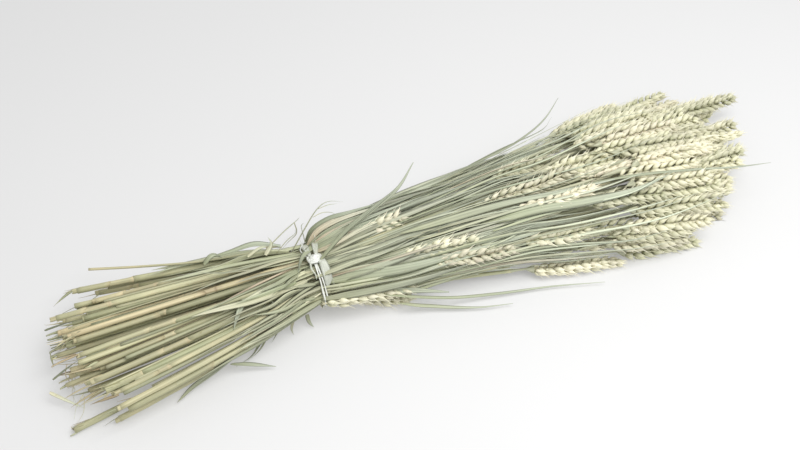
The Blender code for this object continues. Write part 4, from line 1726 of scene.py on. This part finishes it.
@dataclass
class Tatters:
    """Torn strips of sheath at the cut ends of the straws."""

    stalks: list[Strand]
    finish: bpy.types.Material
    count: int = 110
    seed: int = 53

    def build(self) -> bpy.types.Object:
        """Makes the strips: short ribbons that leave a straw near its cut end and splay outwards.

        Returns:
            The piece.
        """
        rng = np.random.default_rng(self.seed)
        surface = Surface()
        t = np.linspace(0, 1, 9)
        for _ in range(self.count):
            stalk = self.stalks[rng.integers(len(self.stalks))]
            length = rng.uniform(0.008, 0.030)
            start = stalk.line[0, 0] + rng.uniform(0.0, 0.016)
            root = stalk.at(np.array([start]))[0][0]
            splay = rng.normal(0, 0.16, 2) * length
            away = rng.uniform(0, TURN)
            offset = 0.0022 * np.array([0.0, np.cos(away), np.sin(away)])
            bend = np.array([0.0, splay[0], splay[1] - 0.1 * length])
            line = root + offset - np.outer(t, [length, 0, 0]) + np.outer(t**1.6, bend)
            line[:, 0] = np.maximum(line[:, 0], self.stalks[0].line[0, 0] - 0.03)
            side, normal = turned_axes(line, rng.uniform(0, np.pi) + rng.normal(0, 1.0) * t)
            half = BladeShape(rng.uniform(0.0004, 0.0014), taper_from=0.3).halves(t)
            rings = ribbon_rings(line, side, normal, half, 0.5, 0.0002)
            tone = rng.choice([0.12, 0.40, 0.66, 0.90], p=[0.35, 0.35, 0.2, 0.1])
            surface.add_rings(rings, 0.004, tone, 0.2, rng.uniform(0.1, 0.8))
        return surface.piece("torn_sheath_ends", self.finish, Slot.LEAF)


# ---------------------------------------------------------------------------------------------
# The twine


# Each row of a ribbon: place past the tie, angle from the top towards the near side, lift, half width
LOOSE_FILM = (
    ((0.0035, 0.02, 0.0060, 0.0026), (0.0060, 0.16, 0.0052, 0.0036), (0.0062, 0.42, 0.0030, 0.0038),
     (0.0056, 0.66, 0.0022, 0.0034), (0.0036, 0.88, 0.0018, 0.0006)),
    ((0.0030, -0.05, 0.0050, 0.0012), (0.0048, -0.22, 0.0072, 0.0024), (0.0064, -0.42, 0.0064, 0.0026),
     (0.0050, -0.55, 0.0044, 0.0012)),
    ((-0.0010, -0.05, 0.0050, 0.0012), (-0.0022, -0.22, 0.0070, 0.0022), (-0.0014, -0.42, 0.0060, 0.0024),
     (0.0006, -0.52, 0.0040, 0.0010)),
    ((0.0080, 0.05, 0.0050, 0.0003), (0.0098, 0.38, 0.0030, 0.0003), (0.0094, 0.66, 0.0022, 0.0003),
     (0.0096, 0.90, 0.0020, 0.0002)),
    ((-0.0034, 0.06, 0.0040, 0.0008), (-0.0040, 0.22, 0.0020, 0.0009), (-0.0026, 0.40, 0.0018, 0.0005),
     (-0.0030, 0.55, 0.0016, 0.0002)),
    ((0.0060, -0.30, 0.0060, 0.0003), (0.0084, -0.48, 0.0100, 0.0003), (0.0086, -0.66, 0.0130, 0.0002)),
    ((-0.0030, -0.30, 0.0060, 0.0003), (-0.0040, -0.46, 0.0090, 0.0003), (-0.0030, -0.58, 0.0115, 0.0002)),
)


@dataclass
class Twine:
    """Split-film twine: two taut turns round the bundle, a crumpled knot, and loose film and fibres."""

    skin: Skin
    finish: bpy.types.Material
    film: bpy.types.Material
    tie: float
    top_angle: float = 0.53 * np.pi
    half_width: float = 0.0009
    half_thick: float = 0.0006
    pitch: float = 0.0021
    clearance: float = 0.0016
    samples: int = 110
    knot_size: tuple[float, float, float] = (0.0062, 0.0043, 0.0030)
    knot_turns: int = 7
    knot_samples: int = 48
    knot_width: float = 0.0017
    seed: int = 3

    def build(self) -> list[bpy.types.Object]:
        """Makes the turns, the knot and the loose film.

        Returns:
            The pieces.
        """
        return [self._turns(), self._knot(), self._loose_film()]

    def _turns(self) -> bpy.types.Object:
        """Makes the turns: a flat section that rounds the skin, twisting, and swings aside behind the knot.

        Returns:
            The piece.
        """
        surface = Surface()
        share = np.linspace(0, 1, self.samples)
        angle = self.top_angle + TURN * share
        for number, hand in enumerate((1.0, -1.0)):
            swing = 0.0075 * bell(share, 0.93, 0.055) * (1.0 if number else 0.35)
            slant = hand * self.pitch * np.cos(np.pi * share) * np.sin(np.pi * share) ** 0.5
            x = self.tie + 0.0006 + slant - swing
            crossing = 0.0009 * number * bell(share, 0.5, 0.08)
            line = self.skin.at(x, angle, self.clearance + crossing)
            line[:, 2] = np.maximum(line[:, 2], self.half_width)
            roll = 0.9 * np.sin(share * 27 + 2 * number)
            side, normal = turned_axes(line, roll, self.skin.outward(x, angle))
            wide = self.half_width * (0.80 + 0.22 * np.sin(share * 37 + 2 * number))
            rings = tube_rings(line, side, normal, wide, np.full(len(share), self.half_thick), 10)
            surface.add_rings(rings, 0.005, 0.5, share)
        return surface.piece("twine_turns", self.finish, Slot.TWINE, "twine_tie")

    def _knot(self) -> bpy.types.Object:
        """Makes the knot: crumpled turns of tape, each a tilted ring on a flattened ball, with wavy edges.

        Returns:
            The piece.
        """
        rng = np.random.default_rng(self.seed)
        centre = self.skin.at(np.array([self.tie + 0.0014]), np.array([self.top_angle]), 0.0038)[0]
        surface = Surface()
        turn = np.linspace(0, TURN, self.knot_samples)
        for number in range(self.knot_turns):
            first = unit(rng.normal(0, 1, 3) * (1.0, 0.8, 0.7))
            second = unit(np.cross(first, rng.normal(0, 1, 3)))
            ring = np.outer(np.cos(turn), first) + np.outer(np.sin(turn), second)
            ring *= (1 + 0.08 * np.sin(3 * turn + number))[:, None]
            line = centre + ring * self.knot_size * rng.uniform(0.75, 1.0)
            side, normal = turned_axes(line, 0.5 * np.sin(2 * turn + number), unit(ring / self.knot_size))
            wide = self.knot_width + 0.0005 * np.sin(turn * 4 + number)
            rings = tube_rings(line, side, normal, wide, np.full(len(turn), self.half_thick), 8)
            surface.add_rings(rings, 0.008, 0.5, 0.5)
        return surface.piece("twine_knot", self.finish, Slot.TWINE, "twine_tie")

    def _loose_film(self) -> bpy.types.Object:
        """Makes the loose film: a wide tail down the near side, two ears of film behind, and stray fibres.

        Each is a ribbon over the skin, on a smooth curve through its rows.

        Returns:
            The piece.
        """
        surface = Surface()
        t = np.linspace(0, 1, 30)
        for number, rows in enumerate(LOOSE_FILM):
            x, angle, lift, half = through(np.array(rows), np.linspace(0, 1, len(rows)), t).T
            x, angle = self.tie + x, self.top_angle + angle
            line = self.skin.at(x, angle, lift)
            side, normal = turned_axes(line, 0.0, self.skin.outward(x, angle))
            fold = 0.30 * np.sin(t * 8 + number)
            rings = ribbon_rings(line, side, normal, np.maximum(half, 0.00015), fold, 0.00025, 7)
            surface.add_rings(rings, 0.008, 0.5, t)
        return surface.piece("twine_loose_film", self.film, Slot.TWINE, "twine_tie")


# ---------------------------------------------------------------------------------------------
# The studio


@dataclass
class Studio:
    """A pale floor, soft light and the camera."""

    tie: Array
    view_turn: float = -23.0
    view_rise: float = 48.0
    distance: float = 1.0
    lens: float = 50.0
    target: tuple[float, float, float] = (0.0982, 0.0477, -0.0250)
    floor_size: float = 12.0
    light_place: tuple[float, float, float] = (0.25, -0.50, 1.08)
    light_size: float = 0.9
    light_power: float = 15.0
    surround: float = 0.69

    def build(self) -> None:
        """Makes the floor, the lights, the surroundings and the camera."""
        self._floor()
        self._lights()
        self._camera()

    def _floor(self) -> None:
        """One flat square under the bundle."""
        half = self.floor_size / 2
        mesh = bpy.data.meshes.new("studio_floor")
        corners = [(-half, -half, 0), (half, -half, 0), (half, half, 0), (-half, half, 0)]
        mesh.from_pydata(corners, [], [(0, 1, 2, 3)])
        mesh.materials.append(FloorFinish().made())
        item = bpy.data.objects.new("studio_floor", mesh)
        bpy.context.scene.collection.objects.link(item)

    def _lights(self) -> None:
        """One broad overhead softbox towards the near right, and even white surroundings."""
        light = bpy.data.lights.new("softbox", "AREA")
        light.size = self.light_size
        light.energy = self.light_power
        item = bpy.data.objects.new("softbox", light)
        item.location = self.light_place
        bpy.context.scene.collection.objects.link(item)
        world = bpy.data.worlds.new("studio_surroundings")
        world.use_nodes = True
        ground = world.node_tree.nodes["Background"]
        ground.inputs["Color"].default_value = (1.0, 1.0, 1.0, 1.0)
        ground.inputs["Strength"].default_value = self.surround
        bpy.context.scene.world = world
        bpy.context.scene.view_settings.view_transform = "Standard"

    def _camera(self) -> None:
        """The camera looks down on the bundle; its target puts the tie left of and below the middle."""
        turn, rise = np.radians(self.view_turn), np.radians(self.view_rise)
        back = np.array([np.sin(turn) * np.cos(rise), -np.cos(turn) * np.cos(rise), np.sin(rise)])
        data = bpy.data.cameras.new("camera")
        data.lens = self.lens
        camera = bpy.data.objects.new("camera", data)
        camera.location = self.tie + np.array(self.target) + back * self.distance
        camera.rotation_euler = (float(np.pi / 2 - rise), 0.0, float(turn))
        bpy.context.scene.collection.objects.link(camera)
        bpy.context.scene.camera = camera


def main() -> None:
    """Builds the bundle, from the straws out to the twine, and then the studio."""
    logging.basicConfig(level=logging.INFO, format="%(message)s")
    tie = tie_middle()
    names = sorted(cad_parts)
    stalks = [Strand.of_node(name, 6) for name in names if name.startswith("wheat_stalk_")]
    leaves = [Strand.of_node(name, 4) for name in names if name.startswith("leaf_")]
    places = np.arange(tie - 0.215, tie + 0.42, 0.008)
    skin = Skin(stalks, places)
    straw, leaf, husk = STRAW_FINISH.made(), LEAF_FINISH.made(), HUSK_FINISH.made()
    Straws(stalks, straw, tie).build()
    BareStraw(Strand.of_node("bare_straw", 6), straw).build()
    inner = InnerStalks(stalks, tie).found()
    resting = [ear.strand(f"resting_stalk_{n + 1:02d}", skin, tie) for n, ear in enumerate(RESTING_EARS)]
    Ears(stalks + inner + resting, husk).build()
    FillerStems(stalks, inner, straw, tie).build()
    CoverLeaves(skin, EarMap.of_stalks(stalks), leaf, tie).build()
    LooseLeaves(leaves, leaf, {"leaf_standing": 0.9, "leaf_tie_lower": 1.0, "leaf_tie_upper": 0.7}).build()
    twine_low, twine_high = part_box("twine_tie")
    middle = np.array([tie, (twine_low.y + twine_high.y) / 2, 0.024])
    for name, scraps in (
        ("curled_leaves", CURLS),
        ("shoulder_blades", SHOULDER),
        ("dry_wisps", WISPS),
        ("butt_scraps", BUTT_SCRAPS),
    ):
        Scraps(name, scraps, leaf, middle).build()
    Tatters(stalks, straw).build()
    # The film's fold colour is painted shade, as on the twine.
    film = TwineFinish(name="loose_film", colour=(0.72, 0.74, 0.66), fold=(0.50, 0.53, 0.42), solid=0.50)
    Twine(skin, TwineFinish().made(), film.made(), tie).build()
    Studio(middle).build()


if __name__ == "__main__":
    main()
